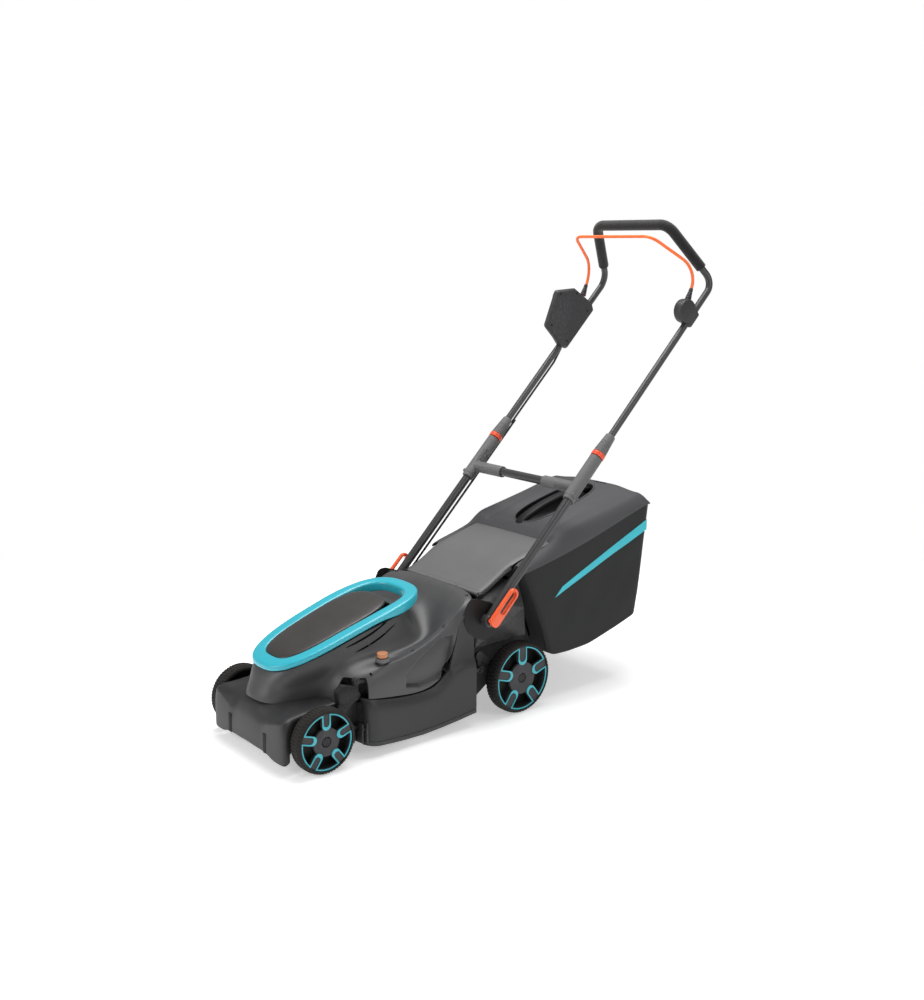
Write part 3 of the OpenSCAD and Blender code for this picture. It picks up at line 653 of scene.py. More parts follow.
class Effect(Enum):
    """Surface effects that several finishes share, each built once as a node group."""

    GRAIN = "Moulded grain"
    WEAR = "Edge wear"
    DUST = "Settled dust"
    WEAVE = "Cloth weave"
    BRUSH = "Drawn tube lines"

    def group(self) -> bpy.types.ShaderNodeTree:
        """Return this effect's node group, built at its first use.

        Returns:
            The node group.
        """
        found = bpy.data.node_groups.get(self.value)
        if found:
            return found
        tree = bpy.data.node_groups.new(self.value, "ShaderNodeTree")
        socket_in(tree, "Vector", "NodeSocketVector")
        builder = {Effect.GRAIN: self._grain, Effect.WEAR: self._wear, Effect.DUST: self._dust,
                   Effect.WEAVE: self._weave, Effect.BRUSH: self._brush}[self]
        builder(tree)
        return tree

    @staticmethod
    def _noise(tree: bpy.types.ShaderNodeTree, vector: bpy.types.NodeSocket,
               scale: bpy.types.NodeSocket | float, detail: float) -> bpy.types.NodeSocket:
        """Add a noise texture and return its 0 to 1 output.

        Args:
            tree: The tree to build in.
            vector: Where it is read.
            scale: How fine it is.
            detail: Its octaves.

        Returns:
            The noise's output.
        """
        noise = tree.nodes.new("ShaderNodeTexNoise")
        noise.inputs["Detail"].default_value = detail
        tree.links.new(vector, noise.inputs["Vector"])
        if isinstance(scale, float):
            noise.inputs["Scale"].default_value = scale
        else:
            tree.links.new(scale, noise.inputs["Scale"])
        return noise.outputs[0]

    @staticmethod
    def _sum(tree: bpy.types.ShaderNodeTree, kind: str, a: bpy.types.NodeSocket | float,
             b: bpy.types.NodeSocket | float, clamp: bool = False) -> bpy.types.NodeSocket:
        """Add a math node of that kind and return its output.

        Args:
            tree: The tree to build in.
            kind: The operation.
            a: First value.
            b: Second value.
            clamp: Whether it stays within 0 to 1.

        Returns:
            The node's output.
        """
        node = tree.nodes.new("ShaderNodeMath")
        node.operation = kind
        node.use_clamp = clamp
        for slot, value in ((0, a), (1, b)):
            if isinstance(value, (int, float)):
                node.inputs[slot].default_value = value
            else:
                tree.links.new(value, node.inputs[slot])
        return node.outputs[0]

    @staticmethod
    def _range(tree: bpy.types.ShaderNodeTree, value: bpy.types.NodeSocket, low: float,
               high: float) -> bpy.types.NodeSocket:
        """Stretch the part of a value from low to high over 0 to 1.

        Args:
            tree: The tree to build in.
            value: The value.
            low: What becomes 0.
            high: What becomes 1.

        Returns:
            The stretched value.
        """
        node = tree.nodes.new("ShaderNodeMapRange")
        node.clamp = True
        node.inputs["From Min"].default_value = low
        node.inputs["From Max"].default_value = high
        tree.links.new(value, node.inputs["Value"])
        return node.outputs[0]

    def _grain(self, tree: bpy.types.ShaderNodeTree) -> None:
        """Fine spark-eroded grain and the broad shade of a moulded wall.

        Args:
            tree: The tree to build in.
        """
        socket_in(tree, "Scale", "NodeSocketFloat", 900.0)
        socket_out(tree, "Height")
        socket_out(tree, "Shade")
        start, end = tree.nodes.new("NodeGroupInput"), tree.nodes.new("NodeGroupOutput")
        fine = self._noise(tree, start.outputs["Vector"], start.outputs["Scale"], 2.0)
        broad = self._noise(tree, start.outputs["Vector"], 9.0, 3.0)
        tree.links.new(self._range(tree, fine, 0.32, 0.68), end.inputs["Height"])
        both = self._sum(tree, "ADD", self._sum(tree, "MULTIPLY", fine, 0.45),
                         self._sum(tree, "MULTIPLY", broad, 0.55))
        tree.links.new(both, end.inputs["Shade"])

    def _wear(self, tree: bpy.types.ShaderNodeTree) -> None:
        """Rubbed edges: raised parts of the shape, broken up by noise.

        Args:
            tree: The tree to build in.
        """
        socket_in(tree, "Amount", "NodeSocketFloat", 0.5)
        socket_out(tree, "Mask")
        start, end = tree.nodes.new("NodeGroupInput"), tree.nodes.new("NodeGroupOutput")
        shape = tree.nodes.new("ShaderNodeNewGeometry")
        raised = self._range(tree, shape.outputs["Pointiness"], 0.515, 0.58)
        broken = self._range(tree, self._noise(tree, start.outputs["Vector"], 130.0, 4.0), 0.35,
                             0.62)
        mask = self._sum(tree, "MULTIPLY", raised, broken)
        tree.links.new(self._sum(tree, "MULTIPLY", mask, start.outputs["Amount"], True),
                       end.inputs["Mask"])

    def _dust(self, tree: bpy.types.ShaderNodeTree) -> None:
        """A thin film on faces that look up, broken up by noise.

        Args:
            tree: The tree to build in.
        """
        socket_in(tree, "Amount", "NodeSocketFloat", 0.2)
        socket_out(tree, "Mask")
        start, end = tree.nodes.new("NodeGroupInput"), tree.nodes.new("NodeGroupOutput")
        shape = tree.nodes.new("ShaderNodeNewGeometry")
        split = tree.nodes.new("ShaderNodeSeparateXYZ")
        tree.links.new(shape.outputs["Normal"], split.inputs[0])
        up = self._range(tree, split.outputs["Z"], 0.1, 1.0)
        cloud = self._range(tree, self._noise(tree, start.outputs["Vector"], 24.0, 6.0), 0.35, 0.7)
        mask = self._sum(tree, "MULTIPLY", up, cloud)
        tree.links.new(self._sum(tree, "MULTIPLY", mask, start.outputs["Amount"], True),
                       end.inputs["Mask"])

    def _weave(self, tree: bpy.types.ShaderNodeTree) -> None:
        """Plain weave of flat yarns, on a flat pair of coordinates.

        Args:
            tree: The tree to build in.
        """
        socket_in(tree, "Threads", "NodeSocketFloat", 600.0)
        socket_out(tree, "Height")
        socket_out(tree, "Shade")
        start, end = tree.nodes.new("NodeGroupInput"), tree.nodes.new("NodeGroupOutput")
        scaled = tree.nodes.new("ShaderNodeVectorMath")
        scaled.operation = "SCALE"
        tree.links.new(start.outputs["Vector"], scaled.inputs[0])
        tree.links.new(start.outputs["Threads"], scaled.inputs["Scale"])
        split = tree.nodes.new("ShaderNodeSeparateXYZ")
        tree.links.new(scaled.outputs[0], split.inputs[0])
        u = self._sum(tree, "SINE", split.outputs["X"], 0.0)
        v = self._sum(tree, "SINE", split.outputs["Y"], 0.0)
        product = self._sum(tree, "MULTIPLY", u, v)
        tree.links.new(self._range(tree, product, -1.0, 1.0), end.inputs["Height"])
        blotch = self._noise(tree, start.outputs["Vector"], 14.0, 5.0)
        tree.links.new(self._sum(tree, "ADD", self._sum(tree, "MULTIPLY", product, 0.2), blotch),
                       end.inputs["Shade"])

    def _brush(self, tree: bpy.types.ShaderNodeTree) -> None:
        """Long faint lines left by drawing a tube.

        Args:
            tree: The tree to build in.
        """
        socket_in(tree, "Scale", "NodeSocketFloat", 500.0)
        socket_out(tree, "Height")
        start, end = tree.nodes.new("NodeGroupInput"), tree.nodes.new("NodeGroupOutput")
        stretch = tree.nodes.new("ShaderNodeVectorMath")
        stretch.operation = "MULTIPLY"
        stretch.inputs[1].default_value = (1.0, 0.03, 0.03)
        tree.links.new(start.outputs["Vector"], stretch.inputs[0])
        tree.links.new(self._noise(tree, stretch.outputs[0], start.outputs["Scale"], 3.0),
                       end.inputs["Height"])


@dataclass(frozen=True)
class Finish:
    """A finish: a colour with grain, rubbed edges and a film of dust on a Principled shader.

    Colours are linear, heights and scales are in metres and per metre.
    """

    name: str
    colour: Colour
    roughness: float = 0.5
    shade: float = 0.12
    grain: float = 1100.0
    grain_height: float = 0.00002
    bump: float = 0.25
    metallic: float = 0.0
    wear: float = 0.35
    wear_colour: Colour = (0.16, 0.16, 0.17)
    dust: float = 0.1
    dust_colour: Colour = (0.26, 0.25, 0.23)
    coat: float = 0.0
    sheen: float = 0.0
    specular: float = 0.5
    pattern: Effect = Effect.GRAIN
    pattern_map: str = "Object"

    def build(self) -> bpy.types.Material:
        """Make the material, or return it where it was made before.

        Returns:
            The material.
        """
        found = bpy.data.materials.get(self.name)
        if found:
            return found
        material = bpy.data.materials.new(self.name)
        material.use_nodes = True
        tree = material.node_tree
        shader = tree.nodes["Principled BSDF"]
        place = tree.nodes.new("ShaderNodeTexCoord")
        where = place.outputs["Object"]
        pattern = self._effect(tree, self.pattern, place.outputs[self.pattern_map])
        scale = {Effect.WEAVE: "Threads"}.get(self.pattern, "Scale")
        pattern.inputs[scale].default_value = self.grain
        shade = pattern.outputs.get("Shade")
        if shade is None:
            shade = self._effect(tree, Effect.GRAIN, where).outputs["Shade"]
        colour = self._shaded(tree, shade)
        wear = self._effect(tree, Effect.WEAR, where)
        wear.inputs["Amount"].default_value = self.wear
        colour = self._mixed(tree, colour, self.wear_colour, wear.outputs["Mask"])
        dust = self._effect(tree, Effect.DUST, where)
        dust.inputs["Amount"].default_value = self.dust
        colour = self._mixed(tree, colour, self.dust_colour, dust.outputs["Mask"])
        tree.links.new(colour, shader.inputs["Base Color"])
        self._roughen(tree, shader, shade, dust.outputs["Mask"])
        bump = tree.nodes.new("ShaderNodeBump")
        bump.inputs["Strength"].default_value = self.bump
        bump.inputs["Distance"].default_value = self.grain_height
        tree.links.new(pattern.outputs["Height"], bump.inputs["Height"])
        tree.links.new(bump.outputs["Normal"], shader.inputs["Normal"])
        shader.inputs["Metallic"].default_value = self.metallic
        shader.inputs["Coat Weight"].default_value = self.coat
        shader.inputs["Coat Roughness"].default_value = 0.25
        shader.inputs["Sheen Weight"].default_value = self.sheen
        shader.inputs["Specular IOR Level"].default_value = self.specular
        material.diffuse_color = (*self.colour, 1.0)
        return material

    @staticmethod
    def _effect(tree: bpy.types.ShaderNodeTree, effect: Effect,
                where: bpy.types.NodeSocket) -> bpy.types.ShaderNodeGroup:
        """Place an effect's group in a material, fed with coordinates.

        Args:
            tree: The tree to build in.
            effect: Which one.
            where: The coordinates.

        Returns:
            The group's node.
        """
        node = tree.nodes.new("ShaderNodeGroup")
        node.node_tree = effect.group()
        tree.links.new(where, node.inputs["Vector"])
        return node

    @staticmethod
    def _mixed(tree: bpy.types.ShaderNodeTree, base: bpy.types.NodeSocket, over: Colour,
               mask: bpy.types.NodeSocket) -> bpy.types.NodeSocket:
        """Lay a colour over another where a mask says.

        Args:
            tree: The tree to build in.
            base: The colour below.
            over: The colour on top.
            mask: Where it shows.

        Returns:
            The mixed colour.
        """
        node = tree.nodes.new("ShaderNodeMix")
        node.data_type = "RGBA"
        tree.links.new(mask, node.inputs[0])
        tree.links.new(base, node.inputs[6])
        node.inputs[7].default_value = (*over, 1.0)
        return node.outputs[2]

    def _shaded(self, tree: bpy.types.ShaderNodeTree,
                shade: bpy.types.NodeSocket) -> bpy.types.NodeSocket:
        """Vary the colour a little up and down with the shade.

        Args:
            tree: The tree to build in.
            shade: The shade, 0 to 1.

        Returns:
            The varied colour.
        """
        node = tree.nodes.new("ShaderNodeMix")
        node.data_type = "RGBA"
        tree.links.new(shade, node.inputs[0])
        for slot, way in ((6, -1), (7, 1)):
            node.inputs[slot].default_value = (*(c * (1 + way * self.shade) for c in self.colour),
                                               1.0)
        return node.outputs[2]

    def _roughen(self, tree: bpy.types.ShaderNodeTree, shader: bpy.types.ShaderNode,
                 shade: bpy.types.NodeSocket, dust: bpy.types.NodeSocket) -> None:
        """Drive the roughness with the shade and the dust.

        Args:
            tree: The tree to build in.
            shader: The Principled shader.
            shade: The shade, 0 to 1.
            dust: Mask of the dust.
        """
        first = tree.nodes.new("ShaderNodeMath")
        first.operation = "MULTIPLY_ADD"
        first.inputs[1].default_value = 0.14
        first.inputs[2].default_value = self.roughness - 0.07
        tree.links.new(shade, first.inputs[0])
        second = tree.nodes.new("ShaderNodeMath")
        second.operation = "MULTIPLY_ADD"
        second.inputs[1].default_value = 0.35
        second.use_clamp = True
        tree.links.new(dust, second.inputs[0])
        tree.links.new(first.outputs[0], second.inputs[2])
        tree.links.new(second.outputs[0], shader.inputs["Roughness"])


class Finishes(Enum):
    """Every finish on the mower."""

    HOOD = Finish("hood_plastic", (0.05, 0.05, 0.052), 0.44, 0.06, dust=0.06)
    DECK = Finish("deck_plastic", (0.019, 0.019, 0.0205), 0.46, 0.06, dust=0.04,
                  wear_colour=(0.07, 0.07, 0.073),
                  specular=0.4)
    FLAP = Finish("flap_plastic", (0.11, 0.11, 0.112), 0.47, 0.06, dust=0.06)
    INNER = Finish("inner_plastic", (0.008, 0.008, 0.0085), 0.5, wear=0.1, dust=0.02, specular=0.25)
    LID = Finish("lid_plastic", (0.032, 0.028, 0.027), 0.36, wear=0.12, dust=0.03)
    CYAN = Finish("cyan_plastic", (0.015, 0.41, 0.51), 0.33, 0.04, wear=0.15,
                  wear_colour=(0.2, 0.72, 0.8), dust=0.03, coat=0.3)
    TEAL = Finish("teal_trim", (0.02, 0.38, 0.45), 0.33, 0.06, wear=0.2,
                  wear_colour=(0.1, 0.55, 0.62), dust=0.03, coat=0.2)
    ORANGE = Finish("orange_lever", (0.84, 0.095, 0.018), 0.35, 0.05, wear=0.15,
                    wear_colour=(1.0, 0.3, 0.12), dust=0.03, coat=0.2)
    CLAMP = Finish("orange_clamp", (0.74, 0.07, 0.02), 0.38, 0.06, wear=0.1,
                   wear_colour=(1.0, 0.3, 0.12), dust=0.03)
    WIRE = Finish("orange_wire", (0.72, 0.075, 0.02), 0.32, 0.05, wear=0.1,
                  wear_colour=(1.0, 0.3, 0.15), dust=0.02, coat=0.4)
    BUTTON = Finish("copper_button", (0.5, 0.2, 0.09), 0.35, 0.12, wear=0.3,
                    wear_colour=(0.75, 0.42, 0.28), dust=0.04)
    COLLAR = Finish("collar_plastic", (0.1, 0.1, 0.102), 0.42)
    TUBE = Finish("painted_tube", (0.05, 0.05, 0.052), 0.34, 0.04, grain=120.0,
                  grain_height=0.000002,
                  metallic=0.3, wear=0.04, wear_colour=(0.16, 0.16, 0.17), dust=0.02)
    JOINT = Finish("joint_plastic", (0.037, 0.037, 0.0385), 0.4, 0.05, grain=120.0,
                   grain_height=0.000004, wear=0.06, wear_colour=(0.12, 0.12, 0.125), dust=0.02)
    SWITCH = Finish("switch_plastic", (0.024, 0.024, 0.026), 0.46, wear=0.15, dust=0.03,
                    specular=0.4)
    RUBBER = Finish("tread_rubber", (0.012, 0.011, 0.0105), 0.7, 0.25, specular=0.25, grain=500.0,
                    grain_height=0.0001, bump=0.4, wear=0.25, wear_colour=(0.07, 0.062, 0.055),
                    dust=0.14, dust_colour=(0.1, 0.085, 0.07))
    RIM = Finish("rim_plastic", (0.014, 0.014, 0.0155), 0.42, wear=0.12, dust=0.03, specular=0.35)
    FOAM = Finish("grip_foam", (0.012, 0.012, 0.0125), 0.82, 0.3, specular=0.25, grain=1500.0,
                  grain_height=0.00025,
                  bump=0.6, wear=0.0, dust=0.08, sheen=0.25)
    BAG = Finish("bag_cloth", (0.0125, 0.0132, 0.0128), 0.75, 0.35, specular=0.25, grain=3600.0,
                 grain_height=0.00012, bump=0.45, wear=0.0, dust=0.05, sheen=0.12,
                 pattern=Effect.WEAVE, pattern_map="UV")
    STRIPE = Finish("stripe_print", (0.03, 0.47, 0.56), 0.5, 0.12, grain=3600.0,
                    grain_height=0.00008, bump=0.35, wear=0.0, dust=0.04,
                    pattern=Effect.WEAVE, pattern_map="UV")
    BINDING = Finish("bag_binding", (0.01, 0.01, 0.0105), 0.7, 0.3, specular=0.25, grain=2400.0,
                     grain_height=0.0001, bump=0.4, wear=0.0, dust=0.1, sheen=0.3)
    BOX_LID = Finish("box_plastic", (0.025, 0.025, 0.0262), 0.4, dust=0.03)
    STEEL = Finish("blade_steel", (0.42, 0.42, 0.44), 0.32, 0.1, grain=300.0, metallic=1.0,
                   wear=0.3, wear_colour=(0.7, 0.7, 0.72), dust=0.06, pattern=Effect.BRUSH)
    ZINC = Finish("zinc_steel", (0.5, 0.5, 0.52), 0.38, 0.15, grain=160.0, metallic=1.0,
                  wear=0.2, wear_colour=(0.8, 0.8, 0.82), dust=0.08)
    AXLE = Finish("painted_axle", (0.02, 0.02, 0.021), 0.5, 0.1, grain=300.0, metallic=0.2,
                  wear=0.2, wear_colour=(0.1, 0.1, 0.1), specular=0.3)
    MOTOR = Finish("motor_can", (0.36, 0.36, 0.38), 0.35, 0.08, metallic=0.9, wear=0.2,
                   wear_colour=(0.6, 0.6, 0.62), dust=0.04)
    BOARD = Finish("controller_case", (0.05, 0.075, 0.06), 0.5, 0.1, wear=0.2)
    PACK = Finish("battery_case", (0.06, 0.06, 0.063), 0.45, 0.1)
    CABLE = Finish("cable_jacket", (0.012, 0.012, 0.013), 0.45, 0.15, grain=700.0, wear=0.05)
    # Near-black: the screw heads' own black, and painted shade behind the hood's slots, in the nose's
    # slots and in the cover screws' countersinks.
    DARK = Finish("screw_black_and_painted_shade", (0.004, 0.004, 0.004), 0.8, 0.1, wear=0.0, dust=0.0)
    WARNING = Finish("level_flap_plastic", (0.02, 0.02, 0.021), 0.45, 0.1)

    def build(self) -> bpy.types.Material:
        """Return this finish's material."""
        return self.value.build()


def dress(piece: bpy.types.Object, finish: Finishes) -> bpy.types.Object:
    """Give a piece one finish all over.

    Args:
        piece: The piece.
        finish: What it is made of.

    Returns:
        The piece.
    """
    piece.data.materials.clear()
    piece.data.materials.append(finish.build())
    return piece


# ------------------------------------------------------------------ shared outlines


def signed_power(value: float, power: float) -> float:
    """Return the value's power with the value's own sign."""
    return math.copysign(abs(value) ** power, value)


@dataclass(frozen=True)
class Egg:
    """A rounded outline whose width grows evenly to the rear, in millimetres."""

    half_w: float
    half_l: float
    mid_y: float
    power: float
    taper: float
    bow: float = 0.0

    def points(self, grow: float = 0.0, steps: int = 720) -> list[Pair]:
        """Return the outline, grown outwards, as x and y pairs.

        Args:
            grow: Millimetres outwards.
            steps: How many points.

        Returns:
            The points in order.
        """
        found = []
        for i in range(steps):
            turn = 2 * math.pi * i / steps
            v = signed_power(math.sin(turn), 2 / self.power)
            w = signed_power(math.cos(turn), 2 / self.power)
            found.append(((self.half_w + grow) * (1 + self.taper * v + self.bow * v * v) * w,
                          self.mid_y + (self.half_l + grow) * v))
        return found

    def reach(self, centre: Pair, grow: float = 0.0) -> Callable[[float], float]:
        """Measure the outline from an inner point.

        Args:
            centre: The x and y to measure from.
            grow: How far the outline is grown first.

        Returns:
            A function from an angle in radians to the distance.
        """
        rows = sorted((math.atan2(y - centre[1], x - centre[0]),
                       math.hypot(x - centre[0], y - centre[1])) for x, y in self.points(grow))
        rows = [(rows[-1][0] - 2 * math.pi, rows[-1][1]), *rows, (rows[0][0] + 2 * math.pi,
                                                                  rows[0][1])]

        def distance(angle: float) -> float:
            """Return the outline's distance in that direction.

            Args:
                angle: The direction in radians.

            Returns:
                The distance in millimetres.
            """
            turn = math.atan2(math.sin(angle), math.cos(angle))
            for (a, ra), (b, rb) in zip(rows, rows[1:]):
                if a <= turn <= b:
                    return mix(ra, rb, (turn - a) / max(b - a, 1e-9))
            return rows[0][1]

        return distance


RING_OUTLINE = Egg(110.7, 204.2, 155.8, 2.7, 0.1, 0.1)
LID_OUTLINE = Egg(75.5, 144.0, 128.0, 3.3, 0.1)
GRIP_HOLE = Egg(80.0, 104.0, 226.0, 2.9, 0.02)


def ring_top(y: float) -> float:
    """Return the height of the cyan ring's top at that distance back, in millimetres.

    Args:
        y: Millimetres behind the front axle.

    Returns:
        The height in millimetres.
    """
    behind = y - RING_OUTLINE.mid_y
    u = behind / RING_OUTLINE.half_l
    rise = 7.0 * max(0.0, -u) ** 3 + 4.0 * max(0.0, u)
    return 284.8 + 0.3 * behind - 14.6 * u * u + rise


@dataclass
class Assembly:
    """A sub-assembly: it builds its pieces round the CAD nodes it is given."""

    nodes: dict[str, bpy.types.Object]

    def done(self, piece: bpy.types.Object, body: str, finish: Finishes, slot: str,
             *replaced: str) -> bpy.types.Object:
        """Dress a finished piece and tie it to the frame.

        Args:
            piece: The piece, in place.
            body: The CAD body it moves with.
            finish: Its finish.
            slot: The record's material slot it stands for; not used.
            *replaced: CAD nodes it stands for.

        Returns:
            The piece.
        """
        clear_selection()
        dress(piece, finish)
        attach(piece, body)
        if replaced:
            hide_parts(*replaced)
        log.info("%s on %s, %d faces", piece.name, body, len(piece.data.polygons))
        return piece

    def copy_of(self, node: str, name: str, flat: float = 1.0) -> bpy.types.Object:
        """Copy a CAD node as a clean mesh for further work.

        Args:
            node: Name of the CAD node.
            name: Name of the new piece.
            flat: Faces that turn by less than this, in degrees, become one.

        Returns:
            The new piece.
        """
        piece = bpy.data.objects.new(name, self.nodes[node].data.copy())
        bpy.context.scene.collection.objects.link(piece)
        start_edit(piece, whole=True)
        bpy.ops.mesh.remove_doubles(threshold=2e-5)
        bpy.ops.mesh.dissolve_limited(angle_limit=math.radians(flat))
        bpy.ops.mesh.normals_make_consistent(inside=False)
        return end_edit(piece)

    def softened(self, node: str, name: str, edge: float, angle: float = 30.0,
                 segments: int = 2) -> bpy.types.Object:
        """Copy a CAD node and round its edges.

        Args:
            node: Name of the CAD node.
            name: Name of the new piece.
            edge: Width of the rounding in millimetres.
            angle: The least turn that is rounded, in degrees.
            segments: How many strips the rounding has.

        Returns:
            The new piece.
        """
        piece = bevelled(self.copy_of(node, name), edge, angle, segments)
        sound_normals(piece, 1e-5)
        return smooth(piece, 40.0)

    def melted(self, node: str, name: str, voxel: float, rounds: int = 6) -> bpy.types.Object:
        """Copy a CAD node and melt its edges together, as a casting has them.

        Args:
            node: Name of the CAD node.
            name: Name of the new piece.
            voxel: Size of the cells it is rebuilt from, in millimetres.
            rounds: How often the surface is smoothed.

        Returns:
            The new piece.
        """
        piece = self.copy_of(node, name)
        piece.data.remesh_voxel_size = voxel * MM
        take_up(piece)
        bpy.ops.object.voxel_remesh()
        with_modifier(piece, "SMOOTH", factor=0.5, iterations=rounds)
        return smooth(piece, 60.0)


# ------------------------------------------------------------------ hood


@dataclass
class Hood(Assembly):
    """The moulded cover: a dome under the ring, a valley, and shoulders that rise to the flap."""

    wall: float = 3.0
    levels: int = 4
    cage: tuple[tuple[Point, ...], ...] = (
        ((0, -25, 199), (0, -45, 200), (0, -55, 186), (0, -62, 171), (0, -68, 160), (0, -73, 152),
         (0, -76, 146), (0, -77, 143), (0, -78, 140)),
        ((38, -14, 203), (55, -31, 205), (53, -43, 190), (50, -51, 173), (47, -57, 161),
         (49, -61, 151),
         (49, -64, 142), (49, -65, 138), (48, -66, 134)),
        ((58, 5, 212), (80, -6, 214), (78, -15, 196), (74, -21, 179), (70, -25, 165),
         (71, -27, 153),
         (71, -29, 143), (71, -30, 139), (71, -31, 134)),
        ((72, 45, 229), (97, 43, 231), (98, 40, 212), (94, 38, 193), (87, 35, 175), (86, 32, 159),
         (85, 30, 146), (85, 29, 140), (84, 28, 135)),
        ((78, 90, 244), (105, 86, 245), (109, 84, 226), (108, 80, 206), (104, 75, 188),
         (106, 70, 172),
         (105, 66, 156), (103, 64, 147), (102, 62, 138)),
        ((80, 118, 253), (108, 116, 255), (113, 112, 234), (117, 106, 213), (131, 100, 199),
         (152, 92, 188), (164, 84, 170), (168, 82, 156), (168, 82, 146)),
        ((80, 160, 267), (110, 160, 269), (116, 161, 244), (122, 162, 217), (140, 160, 206),
         (169, 154, 203), (180, 146, 186), (182, 138, 156), (182, 135, 137)),
        ((82, 205, 280), (111, 207, 280), (118, 209, 252), (127, 212, 216), (149, 211, 206),
         (171, 208, 207), (181, 204, 180), (182, 200, 150), (182, 200, 129)),
        ((82, 240, 287), (111, 243, 288), (117, 249, 256), (130, 258, 212), (152, 262, 217),
         (172, 260, 219), (181, 255, 182), (182, 252, 150), (182, 252, 123)),
        ((80, 268, 291), (106, 275, 292), (112, 284, 256), (130, 304, 213), (154, 313, 236),
         (171, 312, 237), (181, 308, 196), (182, 306, 156), (182, 306, 127)),
        ((60, 286, 294), (84, 297, 293), (92, 308, 258), (122, 334, 221), (155, 352, 257),
         (169, 353, 257),
         (179, 353, 224), (181, 352, 190), (181, 352, 160)),
        ((42, 290, 295), (58, 308, 293), (66, 326, 264), (104, 352, 238), (150, 385, 287),
         (168, 388, 288),
         (178, 386, 276), (180, 384, 268), (180, 382, 262)),
        ((26, 291, 296), (36, 313, 294), (42, 338, 273), (68, 374, 260), (118, 417, 305),
         (164, 428, 315),
         (175, 430, 312), (179, 431, 308), (179, 431, 304)),
        ((12, 291, 297), (18, 315, 295), (21, 343, 276), (28, 392, 280), (58, 440, 313),
         (112, 457, 319),
         (126, 462, 316), (129, 464, 311), (129, 464, 307)),
        ((0, 291, 297), (0, 316, 295), (0, 344, 276), (0, 394, 281), (0, 442, 314), (0, 459, 319),
         (0, 464, 316), (0, 466, 311), (0, 466, 307)))
    creases: tuple[tuple[int, int, int, float], ...] = (
        (1, 0, 14, 0.85), (4, 6, 11, 0.85), (5, 6, 12, 0.75), (6, 12, 14, 0.5))
    pocket: tuple[Pair, ...] = (
        (226, 142), (226, 172), (268, 203), (336, 238), (368, 240), (367, 212), (350, 156),
        (318, 137),
        (268, 133))
    pocket_depth: float = 13.0

    def build(self) -> None:
        """Make the hood and what is set in it."""
        self.shell()
        self.screws()
        self.button()
        # Near-black sheets behind the cooling slots, as painted shade of the hood's inside.
        slot_shade_sheets = [block("slot_shade_sheet", at(side * 85, 212, 205), at(side * 88, 292, 248)) for side in (1,
                                                                                                -1)]
        self.done(joined("hood_slot_painted_shade", slot_shade_sheets), "chassis", Finishes.DARK, "hood")

    def shell(self) -> bpy.types.Object:
        """Make the moulded shell from its control cage.

        Returns:
            The shell.
        """
        hood = caged("hood_shell", self.cage, self.creases, self.levels)
        self.press_pocket(hood)
        with_modifier(hood, "SOLIDIFY", thickness=self.wall * MM, offset=-1.0)
        for side in (1, -1):
            for start, end in (((112, 244), (238, 290)), ((134, 230), (248, 274))):
                cut_away(hood, self.slot_cutter(side, start, end))
            cut_away(hood, self.notch_cutter(side))
        cut_away(hood, rod("button_hole", at(155, 180, 150), at(155, 180, 260), 10.4, sides=40))
        cut_away(hood, rod("drain_hole", at(172, 139, 190), at(158, 139, 192), 3.2, sides=20))
        smooth(hood, 38.0)
        return self.done(hood, "chassis", Finishes.HOOD, "hood", "hood_cover")

    def press_pocket(self, hood: bpy.types.Object) -> None:
        """Press the recess with its steep rear wall into each side.

        Args:
            hood: The hood.
        """
        outline = [(y - AXLE_TO_ORIGIN, z) for y, z in self.pocket]
        for vert in hood.data.vertices:
            x, y, z = (c / MM for c in vert.co)
            if abs(x) < 150:
                continue
            inside = depth_inside(outline, y, z)
            if inside > 0:
                vert.co.x -= math.copysign(self.pocket_depth * ease(inside / 7.0) * MM, x)

    @staticmethod
    def slot_cutter(side: int, start: Pair, end: Pair) -> bpy.types.Object:
        """Make the cutter of one cooling slot, from its ends as y and z.

        Args:
            side: 1 on the left, -1 on the right.
            start: One end.
            end: The other end.

        Returns:
            The cutter.
        """
        path, sizes = [], []
        for k in range(13):
            s = k / 12
            path.append(at(side * 112, mix(start[0], end[0], s), mix(start[1], end[1], s)
                           - 5 * math.sin(math.pi * s)))
            sizes.append(0.6 + 2.2 * math.sin(math.pi * s) ** 0.4)
        sections = []
        for point, size in zip(path, sizes):
            out = Vector((side * 20 * MM, 0, 0))
            up = Vector((0, 0, size * MM))
            sections.append([point - out - up, point + out - up, point + out + up,
                             point - out + up])
        return loft("slot_cutter", sections, caps=True)

    @staticmethod
    def notch_cutter(side: int) -> bpy.types.Object:
        """Make the cutter of the notch over the front axle's lever."""
        return block("notch_cutter", at(side * 130, 60, 118), at(side * 190, 126, 186), 4.0)

    def screws(self) -> None:
        """Sink the cover screws into the hood; their near-black heads also paint in the shade of a
        countersink.
        """
        heads = []
        for side in (1, -1):
            for x, y in ((162, 260), (161, 352), (142, 438)):
                heads.append(self.screw_at(side * x, y))
        screws = joined("cover_screw_heads", heads)
        self.done(screws, "chassis", Finishes.DARK, "steel", "cover_screws")

    def screw_at(self, x: float, y: float) -> bpy.types.Object:
        """Make one cross-head screw standing on the hood at x and y.

        Args:
            x: Millimetres to the left.
            y: Millimetres behind the front axle.

        Returns:
            The screw.
        """
        hood = bpy.data.objects["hood_shell"]
        start = at(x, y, 420)
        hit, place, normal, _ = hood.ray_cast(start, Vector((0, 0, -1)))
        top = place if hit else at(x, y, 260)
        up = normal if hit else Vector((0, 0, 1))
        head = rod("screw_head", top - up * 4 * MM, top + up * 0.7 * MM, 4.3, 4.0, 20)
        start_edit(head)
        pick_faces(head, lambda f: f.normal.dot(up) > 0.9)
        bpy.ops.mesh.inset(thickness=0.9 * MM)
        bpy.ops.mesh.extrude_region_shrink_fatten(TRANSFORM_OT_shrink_fatten={"value": -1.2 * MM})
        return smooth(end_edit(head))

